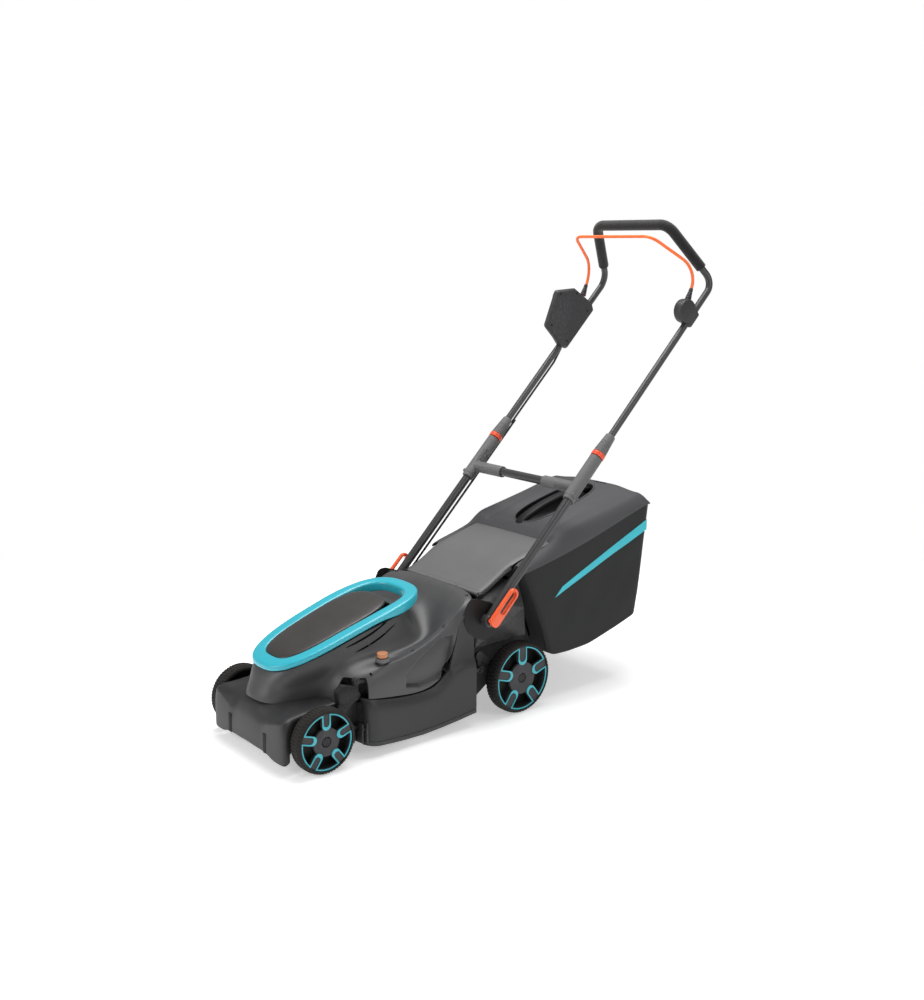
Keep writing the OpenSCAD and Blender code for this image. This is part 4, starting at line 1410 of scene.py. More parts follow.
    def button(self) -> None:
        """Round off the height button and its collar."""
        cap = self.softened("height_button", "height_button_cap", 1.6, 40, 3)
        start_edit(cap, whole=True)
        bpy.ops.transform.resize(value=(0.955, 0.955, 1.0), center_override=at(155, 180, 220))
        end_edit(cap)
        self.done(cap, "height_release", Finishes.BUTTON, "button", "height_button")
        collar = self.softened("button_collar", "height_button_collar", 0.8, 40, 2)
        self.done(collar, "chassis", Finishes.COLLAR, "collar", "button_collar")


# ------------------------------------------------------------------ ring and battery lid


@dataclass
class RingHandle(Assembly):
    """The cyan ring that frames the battery lid and is the front carrying handle."""

    side_height: float = 13.5
    grip_height: float = 24.0
    steps: int = 144
    section_points: int = 28
    squareness: float = 5.5

    def build(self) -> None:
        """Make the ring."""
        centre = (0.0, 170.0)
        outer = RING_OUTLINE.reach(centre)
        lid, grip = LID_OUTLINE.reach(centre, 1.4), GRIP_HOLE.reach(centre)
        sections = []
        for i in range(self.steps):
            turn = 2 * math.pi * i / self.steps
            out, inside = outer(turn), self.blended(lid(turn), grip(turn))
            middle, half = (out + inside) / 2, (out - inside) / 2
            section = []
            for k in range(self.section_points):
                t = 2 * math.pi * k / self.section_points
                r = middle + half * signed_power(math.cos(t), 2 / self.squareness)
                x, y = centre[0] + r * math.cos(turn), centre[1] + r * math.sin(turn)
                height = mix(self.side_height, self.grip_height, ease((y - 200) / 80))
                lift = height / 2 * signed_power(math.sin(t), 2 / self.squareness)
                crown = 1.2 * (1 - (2 * (r - middle) / max(out - inside,
                                                           1.0)) ** 2) if lift > 0 else 0.0
                section.append(at(x, y, ring_top(y) - 1.2 - height / 2 + lift + crown))
            sections.append(section)
        ring = loft("ring_bar", [*sections, sections[0]], loop=True)
        smooth(ring, 60.0)
        self.done(ring, "chassis", Finishes.CYAN, "cyan", "ring_handle")

    @staticmethod
    def blended(a: float, b: float, soft: float = 6.0) -> float:
        """Return the larger of two distances with a rounded change-over."""
        return (a + b + math.sqrt((a - b) ** 2 + soft ** 2) - soft * 0.5) / 2


@dataclass
class BatteryLid(Assembly):
    """The crowned lid over the battery packs."""

    crown: float = 5.0
    rings: int = 9
    depth: float = 5.0

    def build(self) -> None:
        """Make the lid as rings that close on a middle line."""
        sections = []
        outline = LID_OUTLINE.points(0.0, 96)
        for ring in range(self.rings + 1):
            share = ring / self.rings
            sections.append(self.ring_at(outline, 1 - 0.995 * share ** 1.2, share))
        skirt = [p - Vector((0, 0, (self.depth + 3) * MM)) for p in sections[0]]
        lid = loft("battery_lid_shell", [skirt, *sections], caps=True)
        sound_normals(lid, 1.2e-3)
        bevelled(lid, 2.0, 40.0, 3)
        smooth(lid, 50.0)
        self.done(lid, "battery_cover", Finishes.LID, "lid", "battery_lid")

    def ring_at(self, outline: Sequence[Pair], size: float,
                share: float) -> list[Vector]:
        """Return one ring of the lid's top, drawn in towards its middle line.

        Args:
            outline: Points as x and y.
            size: Share of the outline's size.
            share: How far up the dome, 0 to 1.

        Returns:
            The ring's points.
        """
        found = []
        for x, y in outline:
            middle = max(40.0, min(232.0, y))
            px, py = x * size, middle + (y - middle) * size
            lift = self.crown * (1 - (1 - share) ** 2.4) - 0.8
            found.append(at(px, py, ring_top(py) + lift))
        return found


# ------------------------------------------------------------------ rear flap


@dataclass
class RearFlap(Assembly):
    """The light grey flap over the chute: a crowned plate with a dish near its hinge."""

    half_w: float = 146.0
    thick: float = 4.5
    profile: tuple[Pair, ...] = (
        (471, 309), (474, 313.5), (484, 318.5), (500, 327), (520, 338.5), (545, 353), (566, 364.5),
        (581, 371.5), (600, 377.5), (630, 385.8), (660, 394), (688, 401.5), (699, 404.2),
        (704, 404.4))
    across: int = 28

    def build(self) -> None:
        """Make the plate, its hinge barrel and the two side strips."""
        sections = []
        for k, (y, z) in enumerate(self.profile):
            top, bottom = [], []
            for i in range(self.across + 1):
                u = -1 + 2 * i / self.across
                x = self.half_w * signed_power(u, 0.85)
                lift = 1.5 * (1 - u * u) + self.dish(u, y)
                edge = 3.2 * max(0.0, (abs(u) - 0.93) / 0.07) ** 2
                top.append(at(x, y, z + lift - edge - 1.5))
                bottom.append(at(x, y + 1.0, z - self.thick + min(0.0, lift) - 1.0))
            sections.append([*top, *reversed(bottom)])
        plate = loft("rear_flap_plate", sections, caps=True)
        bevelled(plate, 1.2, 50.0, 3)
        smooth(plate, 40.0)
        self.done(plate, "discharge_flap", Finishes.FLAP, "flap", "rear_flap")
        barrels = []
        for low, high in ((-140, -62), (-58, 58), (62, 140)):
            barrel = rod("barrel", at(low, 476, 309), at(high, 476, 309), 6.0, sides=32)
            barrels.append(barrel)
        barrel = bevelled(joined("rear_flap_barrel", barrels), 0.8, 50.0)
        self.done(smooth(barrel), "discharge_flap", Finishes.FLAP, "flap")
        for name, side in SIDES:
            self.strip(name, side)

    @staticmethod
    def dish(u: float, y: float) -> float:
        """Return the dip of the plate's soft hollow near its hinge.

        Args:
            u: Share across the plate.
            y: Millimetres behind the front axle.

        Returns:
            The dip in millimetres.
        """
        ahead = (y - 556) / 46
        aside = (u - 0.02) / 0.62
        return -5.0 * math.exp(-(ahead * ahead) - aside * aside)

    def strip(self, name: str, side: int) -> None:
        """Make the pale sealing strip along one side of the flap.

        Args:
            name: Name of the new piece.
            side: 1 on the left, -1 on the right.
        """
        sections = []
        for y, z in ((478, 303), (500, 313.5), (530, 330.5), (556, 346), (578, 356)):
            x0, x1 = side * 141.5, side * 144.8
            sections.append([at(x0, y, z - 1), at(x1, y, z - 1), at(x1, y, z + 11),
                             at(x0, y, z + 11)])
        strip = loft(f"rear_flap_strip_{name}", sections, caps=True)
        bevelled(strip, 0.6, 50.0)
        self.done(smooth(strip), "discharge_flap", Finishes.FLAP, "flap")


# ------------------------------------------------------------------ grass box


@dataclass
class GrassBox(Assembly):
    """The rear box: a sewn cloth bag hung from a moulded lid with a carrying handle."""

    half_w: float = 182.0
    around: int = 80
    floor_line: tuple[Pair, ...] = (
        (0.0, 127), (0.05, 118.5), (0.22, 117), (0.45, 121.5), (0.75, 146), (0.95, 165), (1.0, 171))
    lid_top: tuple[Pair, ...] = (
        (586, 352), (589, 359), (640, 375), (690, 391), (704, 397), (714, 411), (726, 426),
        (760, 437.5), (820, 454), (884, 470.5), (940, 486), (990, 499), (1006, 502.5), (1017, 501),
        (1026, 493), (1031, 476))
    ridge: tuple[Pair, ...] = (
        (584, 351), (663, 366.4), (736, 384), (790, 397.3), (877, 424), (956, 449.3), (1013, 466),
        (1031, 469))
    shoulder: tuple[Pair, ...] = (
        (584, 366), (600, 374), (640, 384.5), (690, 400), (704, 409), (718, 422), (735, 433.5),
        (884, 465), (998, 493), (1012, 494), (1022, 488), (1031, 474))
    recess: Egg = Egg(57.0, 124.0, 858.0, 2.6, 0.0)
    sag: float = 4.0

    def build(self) -> None:
        """Make the bag, its seams and stripe, the lid, the recess and the handle."""
        self.bag()
        self.seams()
        for name, side in SIDES:
            self.stripe(name, side)
        lid = self.lid()
        self.tub()
        self.recess_bead(lid)
        self.carry_handle()
        self.level_window()

    def wall_point(self, u: float, s: float, across: float) -> Point:
        """Find a point of the bag's wall.

        Args:
            u: Share of the way from the front wall to the rear wall.
            s: Share of the way from the rim to the floor.
            across: From -1 at the right wall to 1 at the left wall.

        Returns:
            The point in millimetres.
        """
        y = mix(mix(586, 676, s), mix(1030.5, 989, s), u)
        top = follow(self.ridge, y) - 1.5
        z = mix(top, follow(self.floor_line, u), s)
        side = abs(across) ** 8
        slack = math.sin(math.pi * min(1.0, s * 1.02))
        pull = self.sag * slack * (math.sin(math.pi * u) * side)
        wave = 0.9 * slack * side * math.sin(u * 17.0 + 5.0 * s + 1.3) * math.sin(s * 7.0 + u * 3.0)
        end = (1 - math.sin(math.pi * u)) ** 6
        y += (1 if u < 0.5 else -1) * end * slack * 2.5 * (1 - across * across)
        width = self.half_w - pull + wave - 3.0 * ease((s - 0.75) / 0.25)
        return width * across, y, z

    def ring(self, s: float, drawn: float = 0.0) -> list[Vector]:
        """Return one ring of the bag's wall, drawn in by a share for its floor.

        Args:
            s: Share along the bag.
            drawn: How far it is drawn in.

        Returns:
            The ring's points.
        """
        found = []
        quarter = self.around // 4
        for i in range(self.around):
            side, k = divmod(i, quarter)
            t = -1 + 2 * k / quarter
            soft = signed_power(t, 0.9)
            u, across = (((soft + 1) / 2, 1.0), (1.0, -soft), ((1 - soft) / 2, -1.0),
                         (0.0, soft))[side]
            x, y, z = self.wall_point(u, s, across)
            if drawn:
                x *= 1 - drawn
                y = mix(y, 820, drawn)
                z = follow(self.floor_line, min(1.0, max(0.0, (y - 676) / 313)))
                z -= 2.0 * math.sin(math.pi * min(1.0, drawn * 1.2))
            found.append(at(x, y, z))
        return found

    def bag(self) -> bpy.types.Object:
        """Make the bag of cloth, with its floor and its mouth.

        Returns:
            The bag.
        """
        rings = [self.ring(s) for s in (0.0, 0.02, 0.06, 0.12, 0.2, 0.3, 0.4, 0.5, 0.6, 0.7, 0.8,
                                        0.88, 0.94, 0.98, 1.0)]
        rings += [self.ring(1.0, d) for d in (0.02, 0.08, 0.25, 0.5, 0.75, 0.97)]
        bag = loft("grass_bag_cloth", rings)
        start_edit(bag, "EDGE")
        last = len(bag.data.vertices) - self.around
        mesh = bmesh.from_edit_mesh(bag.data)
        mesh.verts.ensure_lookup_table()
        for edge in mesh.edges:
            if edge.is_boundary and min(v.index for v in edge.verts) >= last:
                edge.select_set(True)
        bmesh.update_edit_mesh(bag.data)
        bpy.ops.mesh.edge_collapse()
        end_edit(bag)
        rounded(bag, 1)
        sound_normals(bag, 1e-6)
        with_modifier(bag, "SOLIDIFY", thickness=1.2 * MM, offset=-1.0)
        cut_away(bag, block("mouth", at(-122, 560, 152), at(122, 700, 324), 18.0))
        self.unwrap(bag)
        smooth(bag, 50.0)
        self.done(bag, "grass_box", Finishes.BAG, "bag", "grass_bag")
        return bag

    @staticmethod
    def unwrap(piece: bpy.types.Object) -> None:
        """Lay flat coordinates in metres on the cloth, panel by panel.

        Args:
            piece: The piece.
        """
        start_edit(piece, whole=True)
        bpy.ops.uv.cube_project(cube_size=1.0, correct_aspect=False)
        end_edit(piece)

    def seams(self) -> None:
        """Sew a narrow binding over the bag's edges."""
        bindings = []
        for side in (1, -1):
            for u in (0.012, 0.988):
                line = [self.wall_point(u, 0.03 + 0.95 * k / 14, side * 0.976) for k in range(15)]
                bindings.append(sweep("binding", [at(*p) for p in line], 2.3, 10))
            line = [self.wall_point(0.012 + 0.976 * k / 26, 0.98, side * 0.982) for k in range(27)]
            bindings.append(sweep("binding", [at(*p) for p in line], 1.7, 10))
        line = [self.wall_point(0.99, 0.985, -0.96 + 1.92 * k / 16) for k in range(17)]
        bindings.append(sweep("binding", [at(*p) for p in line], 1.6, 10))
        self.done(joined("grass_bag_binding", bindings), "grass_box", Finishes.BINDING, "bag")

    def stripe(self, name: str, side: int) -> None:
        """Print the teal stripe on one side of the bag.

        Args:
            name: Name of the new piece.
            side: 1 on the left, -1 on the right.
        """
        sections = []
        for k in range(41):
            t = k / 40
            low = (mix(693, 1020, t), mix(269, 397, t))
            high = (mix(719, 1020.5, t), mix(294, 424.5, t))
            row = []
            for j in range(5):
                y, z = mix(low[0], high[0], j / 4), mix(low[1], high[1], j / 4)
                row.append(self.on_side_wall(side, y, z))
            sections.append(row)
        stripe = loft(f"grass_bag_stripe_{name}", sections, closed=False)
        with_modifier(stripe, "SOLIDIFY", thickness=0.5 * MM, offset=0.0)
        sound_normals(stripe, 1e-7)
        self.unwrap(stripe)
        self.done(smooth(stripe), "grass_box", Finishes.STRIPE, "stripe")

    def on_side_wall(self, side: int, y: float, z: float) -> Vector:
        """Return the point just outside the bag's side wall at y and z.

        Args:
            side: 1 on the left, -1 on the right.
            y: Millimetres behind the front axle.
            z: Millimetres above the ground.

        Returns:
            The point in metres.
        """
        u, s = 0.5, 0.5
        for _ in range(12):
            front, back = mix(586, 676, s), mix(1030.5, 989, s)
            u = min(1.0, max(0.0, (y - front) / (back - front)))
            top = follow(self.ridge, y) - 1.5
            floor = follow(self.floor_line, u)
            s = min(1.0, max(0.0, (top - z) / (top - floor)))
        return at(self.wall_point(u, s, side)[0] + side * 0.45, y, z)

    def lid_height(self, x: float, y: float) -> float:
        """Return the height of the lid's outer face.

        Args:
            x: Millimetres to the left.
            y: Millimetres behind the front axle.

        Returns:
            The height in millimetres.
        """
        side = abs(x)
        middle, shoulder = follow(self.lid_top, y), follow(self.shoulder, y)
        if side >= 150:
            share = min(1.0, (side - 150) / 33)
            round_off = (1 - share ** 2.2) ** 0.75
            return mix(follow(self.ridge, y), shoulder, round_off)
        share = ease((side - 60) / 90) if y > 712 else ease((side - 147) / 3)
        fade = ease((y - 712) / 14) * (1 - ease((y - 760) / 130))
        groove = 9.0 * math.exp(-((side - 112) / 13) ** 2) * fade
        return mix(middle, shoulder, share) - groove

    def lid(self) -> bpy.types.Object:
        """Make the moulded lid.

        Returns:
            The lid.
        """
        widths = (0, 20, 40, 60, 76, 88, 98, 106, 113, 121, 130, 139, 146.5, 149.5, 154, 160, 166,
                  171,
                  175.5, 179, 181.4, 183)
        xs = [-x for x in reversed(widths[1:])] + list(widths)
        ys = sorted({*(y for y, _ in self.lid_top), *(y for y, _ in self.shoulder)})
        sections = []
        for y in ys:
            edge = follow(self.ridge, y) - 3.0
            row = [at(xs[0], y, edge)]
            row += [at(x, y, max(edge + 2.6, self.lid_height(x, y))) for x in xs]
            row.append(at(xs[-1], y, edge))
            sections.append(row)
        foot = at(0, self.lid_top[-1][0], 464)
        sections.append([Vector((p.x * 0.997, foot.y, foot.z)) for p in sections[-1]])
        lid = loft("box_lid_shell", sections, closed=False)
        rounded(lid, 1)
        sound_normals(lid)
        face_up(lid)
        with_modifier(lid, "SOLIDIFY", thickness=3.2 * MM, offset=-1.0)
        outline = self.recess.points(0.0, 96)
        cut_away(lid, loft("recess_cutter", [[at(x, y, z) for x, y in outline] for z in (380, 540)],
                           caps=True))
        cut_away(lid, block("flap_slot", at(2, 1001, 470), at(46, 1011.2, 530)))
        smooth(lid, 45.0)
        return self.done(lid, "grass_box", Finishes.BOX_LID, "box_plastic", "box_lid")

    def tub(self) -> None:
        """Make the tub below the carrying handle."""
        outline = self.recess.points(0.0, 96)
        sections = []
        for drop, grow in ((0.0, -0.2), (0.15, -1.0), (0.5, -3.5), (0.8, -7.0), (0.93, -11.0),
                           (1.0, -18.0), (1.0, -34.0)):
            shape = self.recess.points(grow, 96)
            row = []
            for (x, y), (ox, oy) in zip(shape, outline):
                top = self.lid_height(ox, oy) - 1.5
                floor = 402 + (y - 700) * 0.0933
                row.append(at(x, y, mix(top, floor, drop)))
            sections.append(row)
        tub = loft("box_lid_tub", sections, caps=True)
        start_edit(tub)
        rim = {tuple(round(c, 6) for c in p) for p in sections[0]}
        pick_faces(tub, lambda f: all(tuple(round(c, 6) for c in v.co) in rim for v in f.verts))
        bpy.ops.mesh.delete(type="ONLY_FACE")
        end_edit(tub)
        with_modifier(tub, "SOLIDIFY", thickness=2.0 * MM, offset=1.0)
        sound_normals(tub, 1e-7)
        self.done(smooth(tub, 50.0), "grass_box", Finishes.INNER, "box_plastic")

    def recess_bead(self, lid: bpy.types.Object) -> None:
        """Run a rounded bead along the recess's rim.

        Args:
            lid: The lid; not used.
        """
        path = [at(x, y, self.lid_height(x, y) + 0.2) for x, y in self.recess.points(1.0, 96)]
        sections = []
        for i, point in enumerate(path):
            along = (path[(i + 1) % len(path)] - path[i - 1]).normalized()
            out = along.cross(Vector((0, 0, 1))).normalized()
            up = out.cross(along).normalized()
            sections.append([point + (out * math.cos(t) + up * math.sin(t)) * 2.4 * MM
                             for t in (2 * math.pi * k / 12 for k in range(12))])
        bead = loft("box_lid_bead", [*sections, sections[0]], loop=True)
        self.done(smooth(bead, 60.0), "grass_box", Finishes.BOX_LID, "box_plastic")

    def carry_handle(self) -> None:
        """Make the arched carrying handle."""
        line = ((729, 404, 9), (731, 418, 9.5), (741, 430, 10), (762, 441, 10.5), (800, 456, 11),
                (840, 468, 11), (880, 477, 11), (920, 484, 10.5), (950, 486, 10), (972, 483, 9.5),
                (984, 474, 9), (986, 460, 9), (984, 440, 9))
        path = round_path([at(0, y, z) for y, z, _ in line], 5)
        sections = []
        for i, point in enumerate(path):
            along = (path[min(i + 1, len(path) - 1)] - path[max(i - 1, 0)]).normalized()
            across, over = Vector((1, 0, 0)), Vector((1, 0, 0)).cross(along).normalized()
            sections.append([point + across * 13.5 * MM * signed_power(math.cos(t), 0.5)
                             + over * 8.0 * MM * signed_power(math.sin(t), 0.6)
                             for t in (2 * math.pi * k / 28 for k in range(28))])
        handle = smooth(loft("box_carry_handle", sections, caps=True), 50.0)
        self.done(handle, "grass_box", Finishes.INNER, "box_plastic")

    def level_window(self) -> None:
        """Round off the level flap in its slot."""
        flap = self.softened("level_flap", "level_flap_blade", 0.5, 50)
        self.done(flap, "level_indicator", Finishes.WARNING, "box_plastic", "level_flap")


# ------------------------------------------------------------------ deck


@dataclass
class Deck(Assembly):
    """The dark lower housing: nose, skirts that rise into the waist, and the hidden core."""

    seam: tuple[Pair, ...] = (
        (60, 140), (86, 148), (147, 134), (190, 127), (240, 122), (280, 122.5), (307, 126),
        (330, 139),
        (353, 157), (368, 207), (384, 262), (407, 290), (436, 304))
    hem: tuple[Pair, ...] = (
        (116, 29.5), (144, 25.5), (180, 22.8), (216, 21), (271, 20), (328, 23.6), (380, 28.5),
        (428, 34))
    side: tuple[Pair, ...] = (
        (114, 170), (118, 178), (124, 186), (132, 190), (142, 192), (428, 192))
    nose: tuple[tuple[Point, ...], ...] = (
        ((0, 62, 139), (0, 0, 139), (0, -50, 139), (0, -75, 132), (0, -85, 99), (0, -88, 72),
         (0, -88, 38), (0, -84, 36), (0, -80, 60)),
        ((34, 62, 139), (34, 0, 139), (34, -50, 139), (34, -73, 131), (34, -85, 99), (34, -88, 72),
         (34, -88, 36), (34, -84, 34), (34, -80, 60)),
        ((62, 62, 139), (62, 0, 139), (62, -44, 137), (62, -68, 126), (60, -83, 97), (62, -87, 72),
         (66, -87, 36), (66, -83, 35), (66, -79, 60)),
        ((90, 62, 139), (88, 0, 137), (86, -44, 133), (82, -70, 122), (74, -85, 97), (82, -88, 68),
         (94, -88, 34), (94, -84, 32), (94, -79, 60)),
        ((118, 62, 138), (116, 0, 134), (114, -44, 130), (112, -70, 126), (110, -85, 111),
         (112, -88, 80),
         (110, -88, 27), (110, -84, 26), (110, -79, 60)),
        ((138, 62, 138), (138, 0, 134), (138, -44, 130), (140, -68, 130), (140, -84, 122),
         (141, -87.5, 90),
         (142, -87.5, 27), (142, -83, 26), (142, -79, 60)),
        ((146, 62, 136), (146, 0, 131), (146, -44, 127), (153, -66, 128), (154, -81, 118),
         (155, -85, 88),
         (155, -85, 27), (155, -81, 26), (153, -78, 60)),
        ((148, 62, 128), (148, 0, 121), (148, -46, 117), (156, -62, 118), (157, -76, 110),
         (157, -80, 80),
         (157, -80, 28), (156, -76, 28), (154, -74, 60)),
        ((148.5, 62, 96), (148.5, 0, 90), (148.5, -48, 86), (156, -60, 86), (157, -72, 84),
         (157, -76, 60), (157, -76, 30), (156, -73, 30), (154, -71, 60)),
        ((148.5, 62, 58), (148.5, 0, 56), (148.5, -50, 56), (156, -60, 56), (157, -70, 54),
         (157, -73, 44), (157, -73, 32), (156, -71, 32), (154, -70, 56)))
    nose_creases: tuple[tuple[int, int, int, float], ...] = (
        (4, 0, 3, 0.35), (4, 3, 6, 0.6), (6, 0, 9, 0.7))

    def build(self) -> None:
        """Make the core, the nose, the skirts, their ribs and the arm blocks."""
        self.core()
        self.nose_shell()
        for name, side in SIDES:
            self.skirt(name, side)
            self.comb(name, side)
            self.arm_block(name, side)

    def core(self) -> None:
        """Keep the chamber, the tunnel and the rear body, without the nose and the skirts."""
        core = self.copy_of("deck_housing", "deck_core", 0.01)
        for place, normal in ((at(0, 58, 0), (0, -1, 0)), (at(178.2, 0, 0), (1, 0, 0)),
                              (at(-178.2, 0, 0), (-1, 0, 0))):
            start_edit(core, whole=True)
            bpy.ops.mesh.bisect(plane_co=place, plane_no=normal, clear_outer=True)
            end_edit(core)
        smooth(core, 32.0)
        self.done(core, "chassis", Finishes.DECK, "deck", "deck_housing")

    def nose_shell(self) -> None:
        """Make the nose from its control cage."""
        nose = caged("deck_nose", self.nose, self.nose_creases, 3)
        with_modifier(nose, "SOLIDIFY", thickness=2.6 * MM, offset=-1.0)
        smooth(nose, 40.0)
        self.done(nose, "chassis", Finishes.DECK, "deck")
        # The nose is not cut for its slots: near-black blocks on its face paint the shade of the
        # openings.
        slot_shades = []
        for side in (1, -1):
            slot_shades.append(block("slot", at(side * 72, -88.4, 34), at(side * 84, -80, 80), 1.0))
        self.done(joined("deck_nose_painted_slot_shade", slot_shades), "chassis", Finishes.DARK, "deck")

    def skirt(self, name: str, side: int) -> None:
        """Make one skirt with its rounded shoulder and the panel that rises to the hinge.

        Args:
            name: Name of the new piece.
            side: 1 on the left, -1 on the right.
        """
        stops = [114, 116, 118, 121, 125, 130, 136, 142] + [150 + 10 * k for k in range(19)]
        stops += [336, 342, 348, 353, 357, 361, 365, 369, 374, 379, 384, 390, 396, 402, 408, 415,
                  422, 427,
                  428]
        sections = []
        for y in stops:
            top, low, wide = follow(self.seam, y) - 1.4, follow(self.hem, y), follow(self.side, y)
            turn = min(top - 0.6, 160 + 12 * ease((y - 345) / 60))
            inset = 192 - wide
            row = [(176, top), (180.4, top), (181.6, top - 1), (181.8, mix(top - 1, turn, 0.5)),
                   (182, turn), (184.2, turn - 4.5), (187.4, turn - 9), (189.9, turn - 15),
                   (191.2, turn - 23), (191.8, turn - 34), (191.9, low + 22), (191.9, low + 14),
                   (191.9, low + 12.6), (191.0, low + 12.0), (191.0, low + 10.8),
                   (191.9, low + 10.2),
                   (191.9, low + 1.2), (191.0, low), (188.6, low), (188.2, low + 1),
                   (188.2, turn - 30),
                   (184.5, turn - 12), (179, turn - 4), (178.5, mix(top - 3, turn, 0.5)),
                   (176, top - 3)]
            sections.append([at(side * (x - inset), y, z) for x, z in row])
        skirt = loft(f"deck_skirt_{name}", sections, caps=True)
        sound_normals(skirt, 1e-6)
        smooth(skirt, 42.0)
        self.done(skirt, "chassis", Finishes.DECK, "deck")

    def comb(self, name: str, side: int) -> None:
        """Make the grass comb's ribs between the front wheel and the skirt.

        Args:
            name: Name of the new piece.
            side: 1 on the left, -1 on the right.
        """
        ribs = []
        for k, y in enumerate((86, 95, 107, 114)):
            foot = 33 + 1.5 * k
            outline = [(y, foot), (y + 3, foot - 3), (y + 5, foot), (y + 5, 74 + 4 * k),
                       (y, 72 + 4 * k)]
            inner, outer = 148, (156.5, 156.5, 176, 184)[k]
            ribs.append(loft("rib", [[at(side * x, py, pz) for py, pz in outline]
                                     for x in (inner, outer)], caps=True))
        ribs.append(block("rib_roof", at(side * 148, 84, 66), at(side * 156.5, 119, 72), 1.5))
        ribs.append(block("rib_roof_end", at(side * 156, 107.5, 66), at(side * 178, 119, 72), 1.5))
        comb = bevelled(joined(f"deck_comb_{name}", ribs), 0.8, 50.0)
        sound_normals(comb, 1e-7)
        self.done(smooth(comb), "chassis", Finishes.DECK, "deck")

    def arm_block(self, name: str, side: int) -> None:
        """Make the dark block that hides the front axle's arm in the hood's notch.

        Args:
            name: Name of the new piece.
            side: 1 on the left, -1 on the right.
        """
        outline = [(44, 172), (61, 184), (93, 173), (101, 152), (86, 143), (47, 140)]
        cover = plate(f"front_arm_cover_{name}", outline,
                      [(side * x, d) for x, d in ((158.2, 1.0), (159.2, 0.0), (172, 0.0),
                                                  (174.2, 0.8),
                                                  (175.6, 2.6))], 4.0)
        web = plate(f"web_{name}", [(62, 176), (96, 166), (104, 148), (78, 122), (56, 128),
                                    (50, 150)],
                    [(side * 157.2, 0.0), (side * 159.6, 0.0)])
        cover = joined(cover.name, [cover, web])
        self.done(smooth(cover, 40.0), "front_crank", Finishes.INNER, "zinc")


# ------------------------------------------------------------------ wheels


@dataclass
class Wheels(Assembly):
    """Four wheels with knobbed tyres, dark webs behind the spokes, and round cap nuts."""

    axles: tuple[tuple[str, float, float, float, float], ...] = (
        ("front", 0.0, 75.0, 160.0, 40.0), ("rear", 571.0, 90.0, 158.0, 42.0))
    steps: int = 240

    def build(self) -> None:
        """Make the four wheels."""
        for axle, y, radius, inner, width in self.axles:
            tyre = self.tyre(axle, y, radius, inner, width)
            for name, side in SIDES:
                body = f"wheel_{axle}_{name}"
                mine = self.mirrored(tyre, f"tyre_{axle}_{name}_tread", side)
                self.done(mine, body, Finishes.RUBBER, "rubber_tread", f"tyre_{axle}_{name}")
                rim = self.softened(f"rim_{axle}_{name}", f"rim_{axle}_{name}_disc", 0.9, 50)
                self.done(rim, body, Finishes.RIM, "rim_plastic", f"rim_{axle}_{name}")
                trim = self.softened(f"trim_{axle}_{name}", f"trim_{axle}_{name}_line", 0.35, 50)
                self.done(trim, body, Finishes.TEAL, "teal", f"trim_{axle}_{name}")
                self.web(axle, name, side, y, radius, inner)
            bpy.data.objects.remove(tyre)

    def tyre(self, axle: str, y: float, radius: float, inner: float,
             width: float) -> bpy.types.Object:
        """Spin one tyre's section round its axle, with knobs on both shoulders.

        Args:
            axle: Name of the axle.
            y: The axle's distance back.
            radius: The tyre's radius, and the axle's height.
            inner: Distance of the tyre's inner face from the middle.
            width: The tyre's width.

        Returns:
            The left-hand tyre.
        """
        rim = radius - 9
        section = ((rim, 2, 0), (radius - 8.6, 0.6, 0), (radius - 6.4, 1.0, 0),
                   (radius - 4.6, 2.0, 0),
                   (radius - 4.2, 2.3, 1.2), (radius - 1.9, 4.2, 1.6), (radius - 1.0, 7.0, 1.6),
                   (radius - 0.8, 8.6, 1.6), (radius - 0.7, 9.0, 0), (radius - 0.3, 11.5, 0),
                   (radius - 0.3, 12.0, 1.2), (radius, 13.0, 1.3), (radius, width / 2, 1.3))
        mirrored = [(r, width - w, d) for r, w, d in reversed(section[:-1])]
        rows = []
        for i in range(self.steps):
            turn = 2 * math.pi * i / self.steps
            row = []
            for k, (r, w, d) in enumerate([*section, *mirrored]):
                middle = 9 < k < 15
                low = (i // 2) % 2 == (1 if middle else 0)
                size = r - (d if low else 0.0)
                row.append(at(inner + w, y + size * math.cos(turn), radius + size * math.sin(turn)))
            rows.append(row)
        tyre = loft(f"tyre_{axle}", [*rows, rows[0]], loop=True)
        sound_normals(tyre, 1e-7)
        return smooth(tyre, 28.0)

    @staticmethod
    def mirrored(piece: bpy.types.Object, name: str, side: int) -> bpy.types.Object:
        """Copy a left-hand piece, mirrored for the right-hand side.

        Args:
            piece: The left-hand piece.
            name: Name of the copy.
            side: 1 for left, -1 for right.

        Returns:
            The copy.
        """
        copy = bpy.data.objects.new(name, piece.data.copy())
        bpy.context.scene.collection.objects.link(copy)
        if side < 0:
            copy.data.transform(Matrix.Diagonal((-1.0, 1.0, 1.0, 1.0)))
            start_edit(copy, whole=True)
            bpy.ops.mesh.flip_normals()
            end_edit(copy)
        return copy

    def web(self, axle: str, name: str, side: int, y: float, radius: float, inner: float) -> None:
        """Make the dark web deep behind a wheel's spokes.

        Args:
            axle: Name of the axle.
            name: Name of the side.
            side: 1 for left, -1 for right.
            y: The axle's distance back.
            radius: The axle's height.
            inner: Distance of the tyre's inner face from the middle.
        """
        rim = radius - 11.5
        section = ((19, 12), (19, 24), (22, 25), (rim * 0.5, 17), (rim - 8, 14), (rim, 13),
                   (rim, 11),
                   (rim - 8, 11.5), (rim * 0.5, 14))
        rows = []
        for i in range(60):
            turn = 2 * math.pi * i / 60
            rows.append([at(side * (inner + w), y + r * math.cos(turn), radius + r * math.sin(turn))
                         for r, w in section])
        web = loft(f"wheel_{axle}_{name}_web", [*rows, rows[0]], loop=True)
        sound_normals(web, 1e-7)
        self.done(smooth(web, 40.0), f"wheel_{axle}_{name}", Finishes.INNER, "rim_plastic")


# ------------------------------------------------------------------ handle


